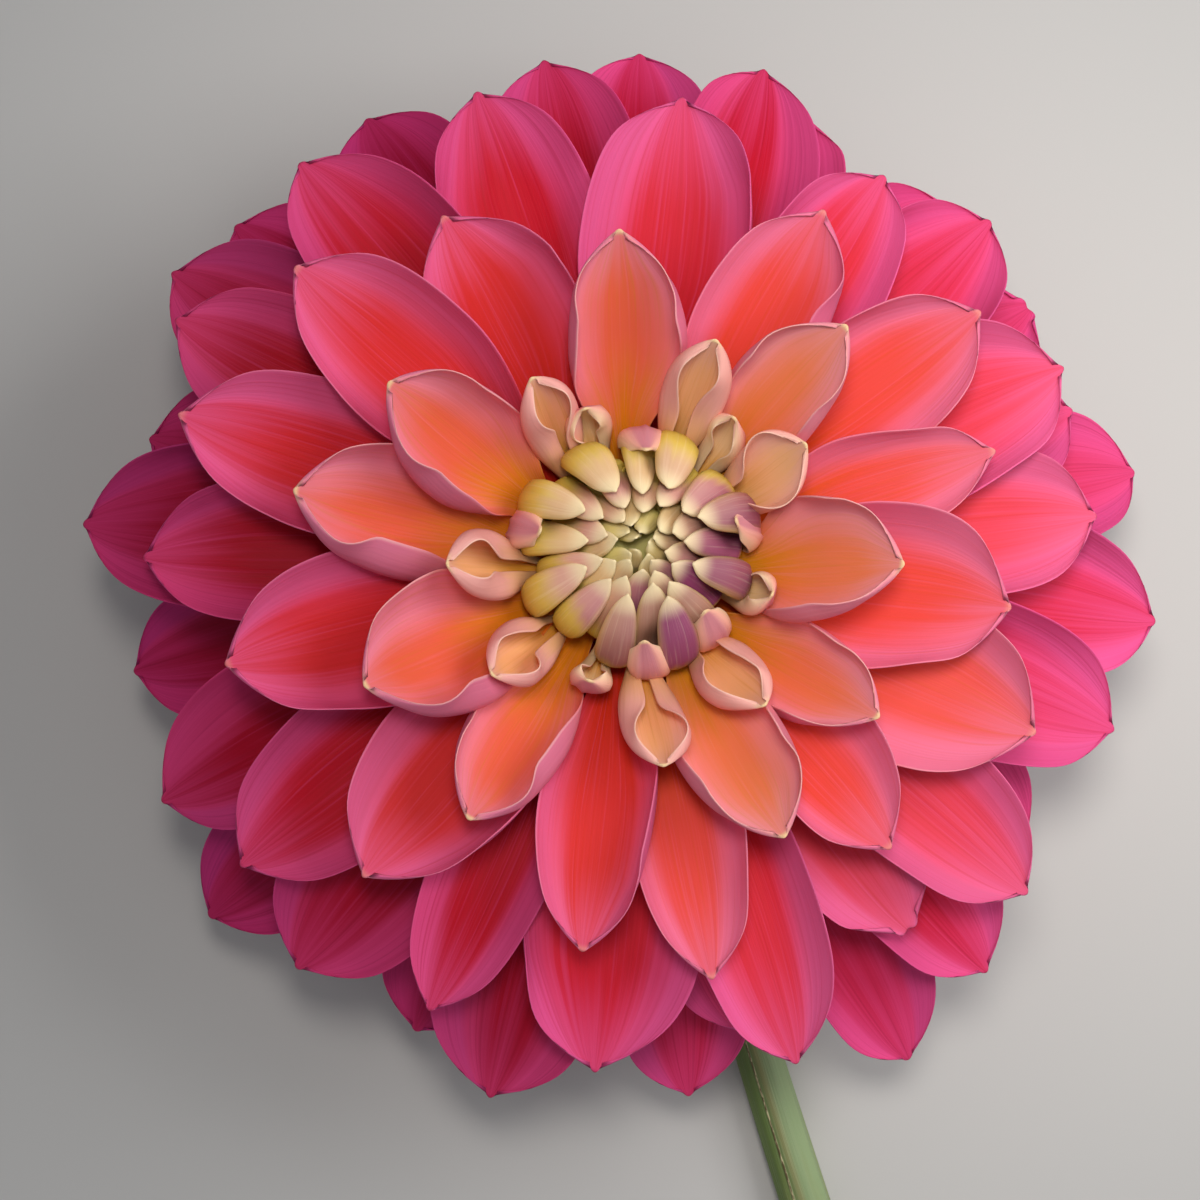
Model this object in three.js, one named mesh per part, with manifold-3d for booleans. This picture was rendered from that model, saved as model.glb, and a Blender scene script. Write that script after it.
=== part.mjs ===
// A cut dahlia: one double bloom lying face up on its back petals, with its bare stem along the surface.
// Millimetres and degrees. +Z is up, and +Y runs from the cut end of the stem to the bloom.
// The origin is on the surface, under the middle of the whole flower.
import * as THREE from "three";
import { mergeVertices } from "three/addons/utils/BufferGeometryUtils.js";
import Module from "manifold-3d";

const wasm = await Module();
wasm.setup();

// The bloom: where its axis stands, and how far its layers shift sideways for each millimetre of height.
const BLOOM = { x: -2.02, y: 73.86, leanPerMm: 0.175, leanBearing: 44, leanFrom: 24 };
const PETAL_THICKNESS = 0.9;

// Neighbours in a row lie over and under each other by this much at their tips, and by a share of it at
// their roots.
const STAGGER = { tips: 0.9, rootShare: 0.3 };

// The clear gap between the petals of one colour and those of the next.
const COLOUR_GAP = 0.35;

// Where a petal is measured along its length.
const STATIONS = [0, 0.4, 0.7, 0.9, 1];
const FEW_STATIONS = [0, 0.5, 0.84, 1];

// A petal's middle line that meets the surface lies level on it from there, at this height.
const PRESSED_UP = 0.35;

// Each row of petals, from the back of the bloom to its middle. root is where a petal leaves the
// receptacle, tip its height there; rise and fall are the slopes at the two ends of its middle line.
// widths are measured flat, cup is the turn of its face from the middle to the crease, and fold the
// further turn of the margins. bearings go anticlockwise from +X, and reaches out from the axis.
const ROWS = [
  {
    node: "outer_petals", sides: 3, stations: FEW_STATIONS, stagger: 0,
    root: { out: 9, up: 24.2 }, rise: -22, fall: -14, tip: -2.6,
    width: 15, cup: 10, fold: 17,
    bearings: [4, 39, 76, 112, 148, 183, 218, 248, 292, 327],
    reaches: [43, 42, 44, 43, 42, 44, 43, 45, 45, 42],
  },
  {
    node: "outer_petals", sides: 2, stations: FEW_STATIONS,
    root: { out: 9, up: 25.9 }, rise: -4, fall: -34, tip: 9.5,
    width: 17, cup: 12, fold: 21,
    bearings: [22, 52, 82, 112, 142, 171, 201, 231, 257, 285, 318, 350],
    reaches: [53, 52, 54, 52, 54, 53, 52, 53, 52, 53, 52, 54],
  },
  {
    node: "outer_petals", sides: 2, stations: FEW_STATIONS,
    root: { out: 9, up: 27.6 }, rise: 12, fall: -30, tip: 19,
    cup: 14, fold: 25,
    bearings: [18, 33, 52, 71, 101, 120, 146, 174, 203, 229, 262, 285, 311, 356],
    reaches: [58, 58, 59, 61, 61, 60, 56, 56, 60, 56, 59, 64, 56, 61],
    widths: [19.3, 19.8, 20.3, 19.8, 20.7, 19.8, 20.3, 19.3, 19.8, 19.3, 18.8, 17.9, 19.8, 19.8],
  },
  {
    node: "middle_petals", sides: 3,
    root: { out: 8.6, up: 30.2 }, rise: 21, fall: -20, tip: 30,
    cup: 14, fold: 28,
    bearings: [3, 27, 57.5, 82, 130, 158, 190, 214, 239, 268, 295.5, 325, 338.5],
    reaches: [54, 57, 59, 58, 61, 61, 58, 58, 61, 54, 61, 58, 60.5],
    widths: [19.8, 20.3, 20.3, 19.8, 21.2, 21.2, 20.7, 23.6, 24.6, 19.3, 19.8, 19.8, 20.7],
  },
  {
    node: "middle_petals", sides: 3, stagger: -1,
    root: { out: 8.2, up: 32 }, rise: 28, fall: -6, tip: 40,
    cup: 15, fold: 31,
    bearings: [7, 39.5, 67, 91.5, 113.5, 136, 163, 202, 229, 250, 271, 290, 303, 348],
    reaches: [52, 51, 51, 54.5, 57, 57, 54, 55, 55, 57, 59, 52, 57.5, 52],
    widths: [21.7, 18.8, 21.7, 20.3, 20.7, 20.3, 20.3, 21.7, 15.4, 24.1, 18.8, 19.3, 19.8, 20.7],
  },
  {
    node: "coral_petals", sides: 3,
    root: { out: 8, up: 34.6 }, rise: 38, fall: 22, tip: 50,
    cup: 16, fold: 35,
    bearings: [17, 44, 105, 125.5, 147, 180.5, 214, 245, 263, 293, 317.5, 333, 358],
    reaches: [45, 41, 41.5, 48, 52, 47, 47, 45, 48, 43, 48, 41, 40],
    widths: [18.8, 18.3, 19.8, 19.3, 20.3, 21.2, 21.2, 15.9, 15.4, 16.7, 23.2, 22.2, 13.5],
  },
  {
    node: "inner_petals", sides: 3, stagger: -1,
    root: { out: 7.8, up: 37.2 }, rise: 30, fall: 44, tip: 56,
    cup: 20, fold: 41,
    bearings: [29, 77, 134, 157, 193, 222, 278, 305, 336],
    reaches: [31, 33, 32, 38, 34.5, 36, 36, 32, 28],
    widths: [14.5, 15.9, 17.4, 18.8, 19.8, 15.4, 15, 13.2, 17.4],
  },
  {
    node: "inner_petals", sides: 4, stations: FEW_STATIONS,
    root: { out: 7.6, up: 38.6 }, rise: 22, fall: 68, tip: 54,
    width: 12.6, cup: 36, fold: 84,
    bearings: [12, 52, 109, 171, 206, 257, 289],
    reaches: [20.5, 22.5, 21, 21.5, 22, 25, 22.5],
  },
];

// The receptacle is built in levels, one under each colour of petals, with its colour.
const CORE_SIDES = 14;
const LAYERS = [
  {
    node: "outer_petals", color: "#c9216c",
    levels: [{ up: 22.8, radius: 9.8 }, { up: 28.8, radius: 9.8 }],
  },
  {
    node: "middle_petals", color: "#e2386f",
    levels: [{ up: 29.15, radius: 9.4 }, { up: 33.2, radius: 9 }],
  },
  {
    node: "coral_petals", color: "#ef5a5e",
    levels: [{ up: 33.55, radius: 8.8 }, { up: 35.9, radius: 8.6 }],
  },
  {
    node: "inner_petals", color: "#f09a6e",
    levels: [{ up: 36.25, radius: 8.4 }, { up: 40, radius: 8 }],
  },
  {
    node: "centre_buds", color: "#dcc08a",
    levels: [
      { up: 40.4, radius: 6.4 }, { up: 45.4, radius: 9.6 }, { up: 47, radius: 6 },
    ],
  },
];

// Across a petal, from 0 at its middle to 1 at its edge: where the fold of the margin starts and ends, and
// the crease that the cup is measured to.
const CREASE = { from: 0.44, at: 0.58, to: 0.88 };

// Along a petal: its width at the root, where it is widest, how square and how blunt it closes, and its tip.
const OUTLINE = { claw: 0.18, widest: 0.62, squareness: 2.4, bluntness: 0.62, tipWidth: 2.2 };

// The handles of a petal's middle line, as a share of its chord.
const HANDLE = 0.38;

// How much the petals of one row differ: in width, in cup and fold, and in roll from side to side.
const VARIETY = { width: 0.1, bend: 0.3, roll: 8 };

// The closed buds in the middle, in the order of growth, a golden angle apart. The disc's belly is where
// its outermost buds are widest. Half-open buds stand in a ring round it, their tips turned outwards.
const DISC = {
  buds: 42, root: 7.8, rootUp: 41.2, belly: 13.2, bulge: 1.3, bellyUp: 44.6, tipUp: 50, crown: -1.5,
  goldenAngle: 137.508, youngest: 3.4, oldest: 6.2, inwards: { youngest: 0.1, oldest: 0.52 },
};
const HALF_OPEN = {
  bearings: [33, 71, 92, 149, 236, 263, 296, 324, 354], width: 4.4,
  reaches: [17.4, 15.4, 17, 15.6, 17.6, 16, 15.6, 16.2, 15.6],
  root: { out: 7.4, up: 39.4 }, bellyOut: 1, bellyUp: 41.4, tipUp: 50,
};

// A closed bud swells and closes along its length, and is a little flat.
const POD = {
  sides: 5, firstSide: 0.75, depth: 0.62,
  stops: [{ at: 0.3, size: 0.8 }, { at: 0.6, size: 1 }, { at: 0.86, size: 0.66 }],
};

// The green parts under the petals: the receptacle's base and two whorls of bracts.
const CALYX = [{ up: 19.2, radius: 3.6 }, { up: 22.4, radius: 8.6 }];
const BRACT = { thickness: 0.8, rootOut: 4.6 };
const BRACTS = [
  { count: 8, first: 15, reach: 19, tip: 13.6, up: 20.9, rise: -22, fall: -30, width: 8, cup: 14, fold: 12 },
  { count: 5, first: 18, reach: 14, tip: 9.4, up: 19.8, rise: -34, fall: -62, width: 4.6, cup: 10, fold: 8 },
];

// The stem leaves the bloom downwards, turns, and lies along the surface to its slanting cut end.
// Its middle line is given from the bloom's axis: across, along, and up, where it isn't on the surface.
const STEM = {
  sides: 10, rings: 25, crowding: 1.5, neckRadius: 2.5, footRadius: 3.6, fullAt: 0.9,
  flare: 0.9, flareShare: 0.012, cutSlant: 2.6, pressed: 0.06,
};
const STEM_LINE = [
  [-0.6, -0.6, 18.2], [-0.9, -1.2, 14.6], [-1, -3.9, 9.6], [-0.8, -9.4, 5.2], [-0.3, -18, 2.6],
  [0, -32, 0], [0, -60, 0], [0.8, -95, 0], [3, -135, 0], [6, -170, 0], [9.5, -205, 0],
];
const PITH = { radius: 1.7, depth: 14, sides: 8 };

const radians = THREE.MathUtils.degToRad;
const lerp = THREE.MathUtils.lerp;
const smoothstep = THREE.MathUtils.smoothstep;

// A repeatable draw from 0 to 1 for each whole number.
function draw(seed) {
  const value = Math.sin(seed * 127.1 + 311.7) * 43758.5453;
  return value - Math.floor(value);
}

// A repeatable factor about 1, spread over a range.
function varied(range, seed) {
  return 1 + range * (draw(seed) - 0.5);
}

// A closed mesh's vertices merged by place, as a solid that can be joined and cut.
function solid(geometry) {
  const bare = new THREE.BufferGeometry();
  bare.setAttribute("position", geometry.getAttribute("position"));
  if (geometry.index) bare.setIndex(geometry.index);
  const merged = mergeVertices(bare, 1e-4);
  return new wasm.Manifold(
    new wasm.Mesh({
      numProp: 3,
      vertProperties: merged.getAttribute("position").array,
      triVerts: new Uint32Array(merged.index.array),
    }),
  );
}

function geometryOf(body) {
  const mesh = body.getMesh();
  const geometry = new THREE.BufferGeometry();
  geometry.setAttribute("position", new THREE.BufferAttribute(mesh.vertProperties, 3));
  geometry.setIndex(new THREE.BufferAttribute(mesh.triVerts, 1));
  geometry.computeVertexNormals();
  return geometry;
}

function joined(bodies) {
  return bodies.reduce((whole, body) => whole.add(body));
}

// The largest piece of a body, without the scraps that a cut can leave.
function largest(body) {
  return body.decompose().reduce((best, piece) => (piece.volume() > best.volume() ? piece : best));
}

// A point of the bloom, given out from its axis, at a bearing and a height, in the flower's own frame.
function inBloom(out, bearing, up) {
  const shift = BLOOM.leanPerMm * (up - BLOOM.leanFrom);
  const lean = radians(BLOOM.leanBearing);
  return new THREE.Vector3(
    BLOOM.x + out * Math.cos(radians(bearing)) + shift * Math.cos(lean),
    BLOOM.y + out * Math.sin(radians(bearing)) + shift * Math.sin(lean),
    up,
  );
}

// Half the width of a petal at a share of its length, as a share of its widest.
function outline(s) {
  if (s < OUTLINE.widest) {
    const grow = Math.sin((Math.PI / 2) * (s / OUTLINE.widest)) ** 2;
    return lerp(OUTLINE.claw, 1, grow);
  }
  const t = (s - OUTLINE.widest) / (1 - OUTLINE.widest);
  return (1 - t ** OUTLINE.squareness) ** OUTLINE.bluntness;
}

// A petal's section at a share u of its half width: how far across, how far up, and its slope there.
function section(petal, u) {
  const steps = 8;
  const reach = Math.abs(u);
  let across = 0;
  let up = 0;
  let slope = 0;
  for (let k = 0; k < steps; k++) {
    const at = ((k + 0.5) / steps) * reach;
    slope = radians(petal.cup * (at / CREASE.at) + petal.fold * smoothstep(at, CREASE.from, CREASE.to));
    across += (Math.cos(slope) * reach) / steps;
    up += (Math.sin(slope) * reach) / steps;
  }
  return { across: across * Math.sign(u), up, slope: slope * Math.sign(u) };
}

// The middle line of a petal: a cubic curve in the upright plane through the axis.
function middleLine(petal) {
  const start = new THREE.Vector2(petal.root.out, petal.root.up);
  const end = new THREE.Vector2(petal.reach, petal.tip);
  const handle = HANDLE * start.distanceTo(end);
  const leave = new THREE.Vector2(Math.cos(radians(petal.rise)), Math.sin(radians(petal.rise)));
  const arrive = new THREE.Vector2(Math.cos(radians(petal.fall)), Math.sin(radians(petal.fall)));
  return new THREE.CubicBezierCurve(
    start,
    start.clone().addScaledVector(leave, handle),
    end.clone().addScaledVector(arrive, -handle),
    end,
  );
}

// A point on a petal: s along it, u across it from -1 to 1, and side 1 for its face or -1 for its back.
function petalPoint(petal, line, s, u, side, thickness) {
  const middle = line.getPoint(s);
  const along = line.getTangent(s);
  if (middle.y < PRESSED_UP) {
    middle.y = PRESSED_UP;
    along.set(1, 0);
  }
  const half = Math.max((petal.width / 2) * outline(s), OUTLINE.tipWidth / 2);
  const bent = section(petal, u);
  const lift = (side * thickness) / 2;
  const across = half * bent.across - lift * Math.sin(bent.slope);
  const up = half * bent.up + lift * Math.cos(bent.slope);
  const roll = radians(petal.roll);
  const aside = across * Math.cos(roll) - up * Math.sin(roll);
  const raised = across * Math.sin(roll) + up * Math.cos(roll);
  const out = middle.x - raised * along.y;
  const height = middle.y + raised * along.x;
  const turn = Math.atan2(aside, out) * THREE.MathUtils.RAD2DEG;
  return inBloom(Math.hypot(out, aside), petal.bearing + turn, height);
}

// A closed blade from its points, with both faces split along the same diagonals.
function blade(stations, sides, pointAt) {
  const rows = stations.length;
  const columns = sides + 1;
  const points = [];
  for (const side of [1, -1])
    for (const s of stations)
      for (let j = 0; j < columns; j++) points.push(pointAt(s, (2 * j) / sides - 1, side));
  const face = (i, j) => i * columns + j;
  const back = (i, j) => rows * columns + i * columns + j;
  const triangles = [];
  for (let i = 0; i < rows - 1; i++) {
    for (let j = 0; j < sides; j++) {
      triangles.push(face(i, j), face(i + 1, j), face(i + 1, j + 1));
      triangles.push(face(i, j), face(i + 1, j + 1), face(i, j + 1));
      triangles.push(back(i, j), back(i + 1, j + 1), back(i + 1, j));
      triangles.push(back(i, j), back(i, j + 1), back(i + 1, j + 1));
    }
    triangles.push(face(i, 0), back(i, 0), back(i + 1, 0));
    triangles.push(face(i, 0), back(i + 1, 0), face(i + 1, 0));
    triangles.push(face(i, sides), face(i + 1, sides), back(i + 1, sides));
    triangles.push(face(i, sides), back(i + 1, sides), back(i, sides));
  }
  const last = rows - 1;
  for (let j = 0; j < sides; j++) {
    triangles.push(face(0, j), face(0, j + 1), back(0, j + 1));
    triangles.push(face(0, j), back(0, j + 1), back(0, j));
    triangles.push(face(last, j), back(last, j + 1), face(last, j + 1));
    triangles.push(face(last, j), back(last, j), back(last, j + 1));
  }
  const geometry = new THREE.BufferGeometry().setFromPoints(points);
  geometry.setIndex(triangles);
  return geometry;
}

function middleOf(ring) {
  return ring.reduce((sum, p) => sum.add(p), new THREE.Vector3()).divideScalar(ring.length);
}

// A closed skin over rings with equal counts of points, ended by fans. apex is where the last fan meets.
function skin(rings, apex = middleOf(rings[rings.length - 1])) {
  const count = rings[0].length;
  const points = [...rings.flat(), middleOf(rings[0]), apex];
  const triangles = [];
  for (let i = 0; i < rings.length - 1; i++)
    for (let j = 0; j < count; j++) {
      const k = (j + 1) % count;
      const [a, b, c, d] = [i * count + j, i * count + k, (i + 1) * count + k, (i + 1) * count + j];
      triangles.push(a, b, c, a, c, d);
    }
  const first = points.length - 2;
  const top = (rings.length - 1) * count;
  for (let j = 0; j < count; j++) {
    const k = (j + 1) % count;
    triangles.push(first, k, j);
    triangles.push(first + 1, top + j, top + k);
  }
  const geometry = new THREE.BufferGeometry().setFromPoints(points);
  geometry.setIndex(triangles);
  return geometry;
}

// A round block on the bloom's leaning axis, through levels of a height and a radius.
function core(levels) {
  const rings = levels.map(({ up, radius }) =>
    Array.from({ length: CORE_SIDES }, (_, j) => inBloom(radius, (360 * j) / CORE_SIDES, up)),
  );
  return solid(skin(rings));
}

// The petals of one row. Each differs a little from the next in width, cup and roll.
function petalsOf(row, index, extra = 0) {
  return row.bearings.map((bearing, k) => {
    const seed = 40 * index + k;
    const lift = (row.stagger ?? 1) * STAGGER.tips * (k % 2 ? 1 : -1);
    const petal = {
      ...row,
      bearing,
      reach: row.reaches[k] + extra / 2,
      width: (row.widths ? row.widths[k] : row.width * varied(VARIETY.width, seed)) + extra,
      cup: row.cup * varied(VARIETY.bend, seed + 7),
      fold: row.fold * varied(VARIETY.bend, seed + 13),
      roll: VARIETY.roll * (draw(seed + 19) - 0.5),
      root: { ...row.root, up: row.root.up + STAGGER.rootShare * lift },
      tip: row.tip + lift,
    };
    const line = middleLine(petal);
    const thickness = PETAL_THICKNESS + extra;
    const pointAt = (s, u, side) => petalPoint(petal, line, s, u, side, thickness);
    return solid(blade(row.stations ?? STATIONS, row.sides, pointAt));
  });
}

// A closed bud: a pod along a curve that bulges outwards, from the receptacle to its pointed tip. extra
// makes it that much wider, and half as much longer at each end.
function pod(bearing, line, width, extra = 0) {
  const longer = extra / 2 / line.getLength();
  const rings = POD.stops.map(({ at, size }, k) => {
    const place = k === 0 ? at - longer : at;
    const middle = line.getPoint(place);
    const along = line.getTangent(place);
    return Array.from({ length: POD.sides }, (_, j) => {
      const angle = (2 * Math.PI * (j + POD.firstSide)) / POD.sides;
      const half = (width / 2) * size;
      const aside = (half + extra / 2) * Math.cos(angle);
      const proud = (POD.depth * half + extra / 2) * Math.sin(angle);
      const out = middle.x - proud * along.y;
      const turn = THREE.MathUtils.radToDeg(Math.atan2(aside, out));
      return inBloom(Math.hypot(out, aside), bearing + turn, middle.y + proud * along.x);
    });
  });
  const tip = line.getPoint(1).addScaledVector(line.getTangent(1), extra / 2);
  return solid(skin(rings, inBloom(tip.x, bearing, tip.y)));
}

function closedBud(k, extra) {
  const age = (DISC.buds - k - 0.5) / DISC.buds;
  const share = Math.sqrt(age);
  const rise = DISC.crown * (1 - age);
  const tipOut = DISC.belly * share * lerp(DISC.inwards.youngest, DISC.inwards.oldest, share);
  const line = new THREE.QuadraticBezierCurve(
    new THREE.Vector2(DISC.root * share, DISC.rootUp),
    new THREE.Vector2(DISC.bulge * DISC.belly * share, DISC.bellyUp + rise),
    new THREE.Vector2(tipOut, DISC.tipUp + rise),
  );
  return pod(k * DISC.goldenAngle, line, lerp(DISC.youngest, DISC.oldest, share), extra);
}

function halfOpenBud(bearing, k, extra) {
  const { root, reaches, bellyOut, bellyUp, tipUp } = HALF_OPEN;
  const line = new THREE.QuadraticBezierCurve(
    new THREE.Vector2(root.out, root.up),
    new THREE.Vector2(reaches[k] + bellyOut, bellyUp),
    new THREE.Vector2(reaches[k], tipUp),
  );
  return pod(bearing, line, HALF_OPEN.width, extra);
}

// The receptacle's base with its bracts: a thin inner whorl held against the petals, and a green outer one.
function calyx() {
  const bracts = BRACTS.flatMap((whorl) =>
    Array.from({ length: whorl.count }, (_, k) => {
      const bract = {
        ...whorl,
        bearing: whorl.first + (360 * k) / whorl.count,
        root: { out: BRACT.rootOut, up: whorl.up },
        roll: 0,
      };
      const line = middleLine(bract);
      const pointAt = (s, u, side) => petalPoint(bract, line, s, u, side, BRACT.thickness);
      return solid(blade(FEW_STATIONS, 2, pointAt));
    }),
  );
  return joined([core(CALYX), ...bracts]);
}

// The stem's radius at a share of its length: flared under the bloom, slim at the neck, stout at the foot.
function stemRadius(share) {
  const flare = STEM.flare * Math.exp(-share / STEM.flareShare);
  return lerp(STEM.neckRadius, STEM.footRadius, smoothstep(share, 0, STEM.fullAt)) + flare;
}

function stem() {
  const curve = new THREE.CatmullRomCurve3(
    STEM_LINE.map(([across, along, up]) => new THREE.Vector3(BLOOM.x + across, BLOOM.y + along, up)),
  );
  const rings = [];
  for (let i = 0; i <= STEM.rings; i++) {
    const share = (i / STEM.rings) ** STEM.crowding;
    const middle = curve.getPointAt(share);
    const along = curve.getTangentAt(share);
    const aside = new THREE.Vector3(1, 0, 0).addScaledVector(along, -along.x).normalize();
    const over = new THREE.Vector3().crossVectors(along, aside);
    const radius = stemRadius(share);
    middle.z = Math.max(middle.z, radius * Math.cos(Math.PI / STEM.sides) - STEM.pressed);
    rings.push(
      Array.from({ length: STEM.sides }, (_, j) => {
        const angle = (2 * Math.PI * j) / STEM.sides;
        const end = i === STEM.rings ? -STEM.cutSlant * Math.sin(angle) : 0;
        return middle.clone()
          .addScaledVector(aside, radius * Math.cos(angle))
          .addScaledVector(over, radius * Math.sin(angle))
          .addScaledVector(along, end);
      }),
    );
  }
  const foot = curve.getPointAt(1);
  const turn = new THREE.Quaternion().setFromUnitVectors(new THREE.Vector3(0, 1, 0), curve.getTangentAt(1));
  const hollow = new THREE.CylinderGeometry(PITH.radius, PITH.radius, 2 * PITH.depth, PITH.sides);
  hollow.applyQuaternion(turn);
  hollow.translate(foot.x, foot.y, foot.z);
  return solid(skin(rings)).subtract(solid(hollow));
}

const flower = new THREE.Group();

// What lies below the surface.
const below = solid(new THREE.BoxGeometry(400, 600, 40).translate(0, 0, -20));

// One body in its own node, trimmed flat where it presses on the surface.
function addNode(name, body, color) {
  const trimmed = largest(body.subtract(below));
  const material = new THREE.MeshStandardMaterial({ color, roughness: 0.6, metalness: 0 });
  const mesh = new THREE.Mesh(geometryOf(trimmed), material);
  mesh.name = name;
  flower.add(mesh);
}

// Everything that stands on one level of the receptacle, in one body. extra thickens the blades and buds.
function layer({ node, levels }, extra = 0) {
  const petals = ROWS.flatMap((row, index) => (row.node === node ? petalsOf(row, index, extra) : []));
  const buds = [];
  if (node === "inner_petals")
    HALF_OPEN.bearings.forEach((bearing, k) => buds.push(halfOpenBud(bearing, k, extra)));
  if (node === "centre_buds") for (let k = 0; k < DISC.buds; k++) buds.push(closedBud(k, extra));
  const grown = levels.map(({ up, radius }, k) => ({
    up: up + (k ? extra : -extra) / 2,
    radius: radius + extra / 2,
  }));
  return joined([core(grown), ...petals, ...buds]);
}

addNode("stem", stem(), "#7f9660");
addNode("calyx", calyx(), "#7d8f4a");
LAYERS.forEach((level, k) => {
  const over = LAYERS[k + 1];
  const body = layer(level);
  addNode(level.node, over ? body.subtract(layer(over, 2 * COLOUR_GAP)) : body, level.color);
});

export default flower;
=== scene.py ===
# %% [markdown]
# # A cut dahlia
# This lesson dresses a packed flower in Blender. The frame holds its plain solids: a stem, a calyx, four
# colours of petals and a disc of closed buds. Each solid has the right place and size but few faces, so
# every one of them is replaced by a finer piece that keeps its form.
#
# A petal could be sculpted, or bent with modifiers. Both drift away from the solid below. Here each petal
# is a copy of one flat blank, laid in place by the curve that shaped the solid, so it can't miss.

# %% Load the frame
import math

import bpy
import numpy as np
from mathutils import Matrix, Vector


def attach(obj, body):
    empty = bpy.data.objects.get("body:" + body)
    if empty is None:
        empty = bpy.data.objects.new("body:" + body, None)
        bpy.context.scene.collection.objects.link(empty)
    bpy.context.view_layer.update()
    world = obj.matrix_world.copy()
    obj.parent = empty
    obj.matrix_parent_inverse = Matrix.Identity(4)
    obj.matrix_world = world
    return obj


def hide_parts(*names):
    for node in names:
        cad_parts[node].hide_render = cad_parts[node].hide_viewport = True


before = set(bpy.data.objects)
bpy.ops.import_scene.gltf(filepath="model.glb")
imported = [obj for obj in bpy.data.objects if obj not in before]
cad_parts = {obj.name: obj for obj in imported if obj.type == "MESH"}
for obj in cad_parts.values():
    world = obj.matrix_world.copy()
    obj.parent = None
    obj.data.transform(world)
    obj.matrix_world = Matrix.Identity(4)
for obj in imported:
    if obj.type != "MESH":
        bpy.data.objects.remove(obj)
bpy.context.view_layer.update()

MM = 0.001
print("solids:", sorted(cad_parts))

# %% [markdown]
# ## The camera
# The picture looks straight down on the bloom, a little turned, through a long lens. A long lens keeps the
# petals that rise towards it from swelling. The camera goes in first, so that every later try can be looked
# at. The numbers are in millimetres from the bloom's axis.

# %% Camera
BLOOM = {"x": -2.02, "y": 73.86, "lean_per_mm": 0.175, "lean_bearing": 44, "lean_from": 24}
SHOT = {"turn": 16.6, "distance": 600, "focus_up": 24, "right": -2.06, "above": -2.29, "width": 137.14}
SENSOR_WIDTH = 36

turn = math.radians(SHOT["turn"])
shot_x = BLOOM["x"] + SHOT["right"] * math.cos(turn) + SHOT["above"] * math.sin(turn)
shot_y = BLOOM["y"] - SHOT["right"] * math.sin(turn) + SHOT["above"] * math.cos(turn)
shot_up = SHOT["distance"] + SHOT["focus_up"]
bpy.ops.object.camera_add(location=(shot_x * MM, shot_y * MM, shot_up * MM), rotation=(0, 0, -turn))
camera = bpy.context.object
camera.name = "camera"
camera.data.sensor_width = SENSOR_WIDTH
camera.data.lens = SENSOR_WIDTH * SHOT["distance"] / SHOT["width"]
bpy.context.scene.camera = camera
print("lens:", round(camera.data.lens, 1), "mm")

# %% [markdown]
# ## Helpers for meshes
# An operator acts on all that is selected, so everything is deselected before a new piece. Moving vertices
# one by one is slow, so the places of all of them are read and written at once. What a material needs to
# know is noted on the vertices as an attribute.

# %% Mesh helpers


def deselect():
    if bpy.context.object and bpy.context.object.mode != "OBJECT":
        bpy.ops.object.mode_set(mode="OBJECT")
    bpy.ops.object.select_all(action="DESELECT")


def places(mesh):
    flat = np.empty(len(mesh.vertices) * 3)
    mesh.vertices.foreach_get("co", flat)
    return flat.reshape(-1, 3)


def move_to(mesh, points):
    mesh.vertices.foreach_set("co", np.asarray(points, float).ravel())
    mesh.update()


def note(mesh, name, values):
    """Keeps a vector for each vertex under a name that a material can read."""
    layer = mesh.attributes.get(name) or mesh.attributes.new(name, "FLOAT_VECTOR", "POINT")
    layer.data.foreach_set("vector", np.asarray(values, float).ravel())


# %% [markdown]
# ## The blank of a petal
# A petal is a thin blade that is thickest along its middle and has a rounded rim. The blank is a flat grid
# with walls: its X runs across the petal, its Y along it, and its Z from its back to its face. The cells
# are narrower at the rim and at the tip, where a petal bends most. The blank's own coordinates are noted, so
# that the materials can paint along and across a petal after it has been bent.

# %% Make the blank
BLANK_CELLS = {"petal": (26, 40), "bud": (16, 26), "bract": (16, 24)}
RIM_CROWDING, TIP_CROWDING = 1.4, 1.35


def petal_blank(across_cells, along_cells):
    deselect()
    bpy.ops.mesh.primitive_grid_add(x_subdivisions=across_cells, y_subdivisions=along_cells, size=2)
    blank = bpy.context.object
    wall = blank.modifiers.new("wall", "SOLIDIFY")
    wall.thickness = 2
    wall.offset = 0
    bpy.ops.object.modifier_apply(modifier="wall")
    bpy.ops.object.mode_set(mode="EDIT")
    bpy.ops.mesh.select_mode(type="EDGE")
    bpy.ops.mesh.select_all(action="DESELECT")
    bpy.ops.object.mode_set(mode="OBJECT")

    # The upright edges of the wall are halved, for a rim that can be rounded.
    points = places(blank.data)
    for edge in blank.data.edges:
        a, b = edge.vertices
        edge.select = bool(abs(points[a, 2] - points[b, 2]) > 1)
    bpy.ops.object.mode_set(mode="EDIT")
    bpy.ops.mesh.subdivide(number_cuts=1)
    bpy.ops.mesh.select_all(action="SELECT")
    bpy.ops.mesh.normals_make_consistent(inside=False)
    bpy.ops.object.mode_set(mode="OBJECT")

    x, y, z = places(blank.data).T
    x = np.sign(x) * (1 - (1 - np.abs(x)) ** RIM_CROWDING)
    y = 1 - (1 - (y + 1) / 2) ** TIP_CROWDING
    note(blank.data, "leaf", np.column_stack([x, y, z]))
    bpy.ops.object.shade_smooth()
    return blank


fine_blank = petal_blank(*BLANK_CELLS["petal"])
print("blank:", len(fine_blank.data.polygons), "faces")

# %% [markdown]
# ## Draws
# No two petals of a dahlia are alike. A formula that turns each whole number into a draw gives the same
# flower in every run, and the same variety as the solids have.

# %% Draws
SEEDS = {"row": 40, "half_open": 500, "bud": 700, "bract": 900, "whorl": 20}


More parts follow.
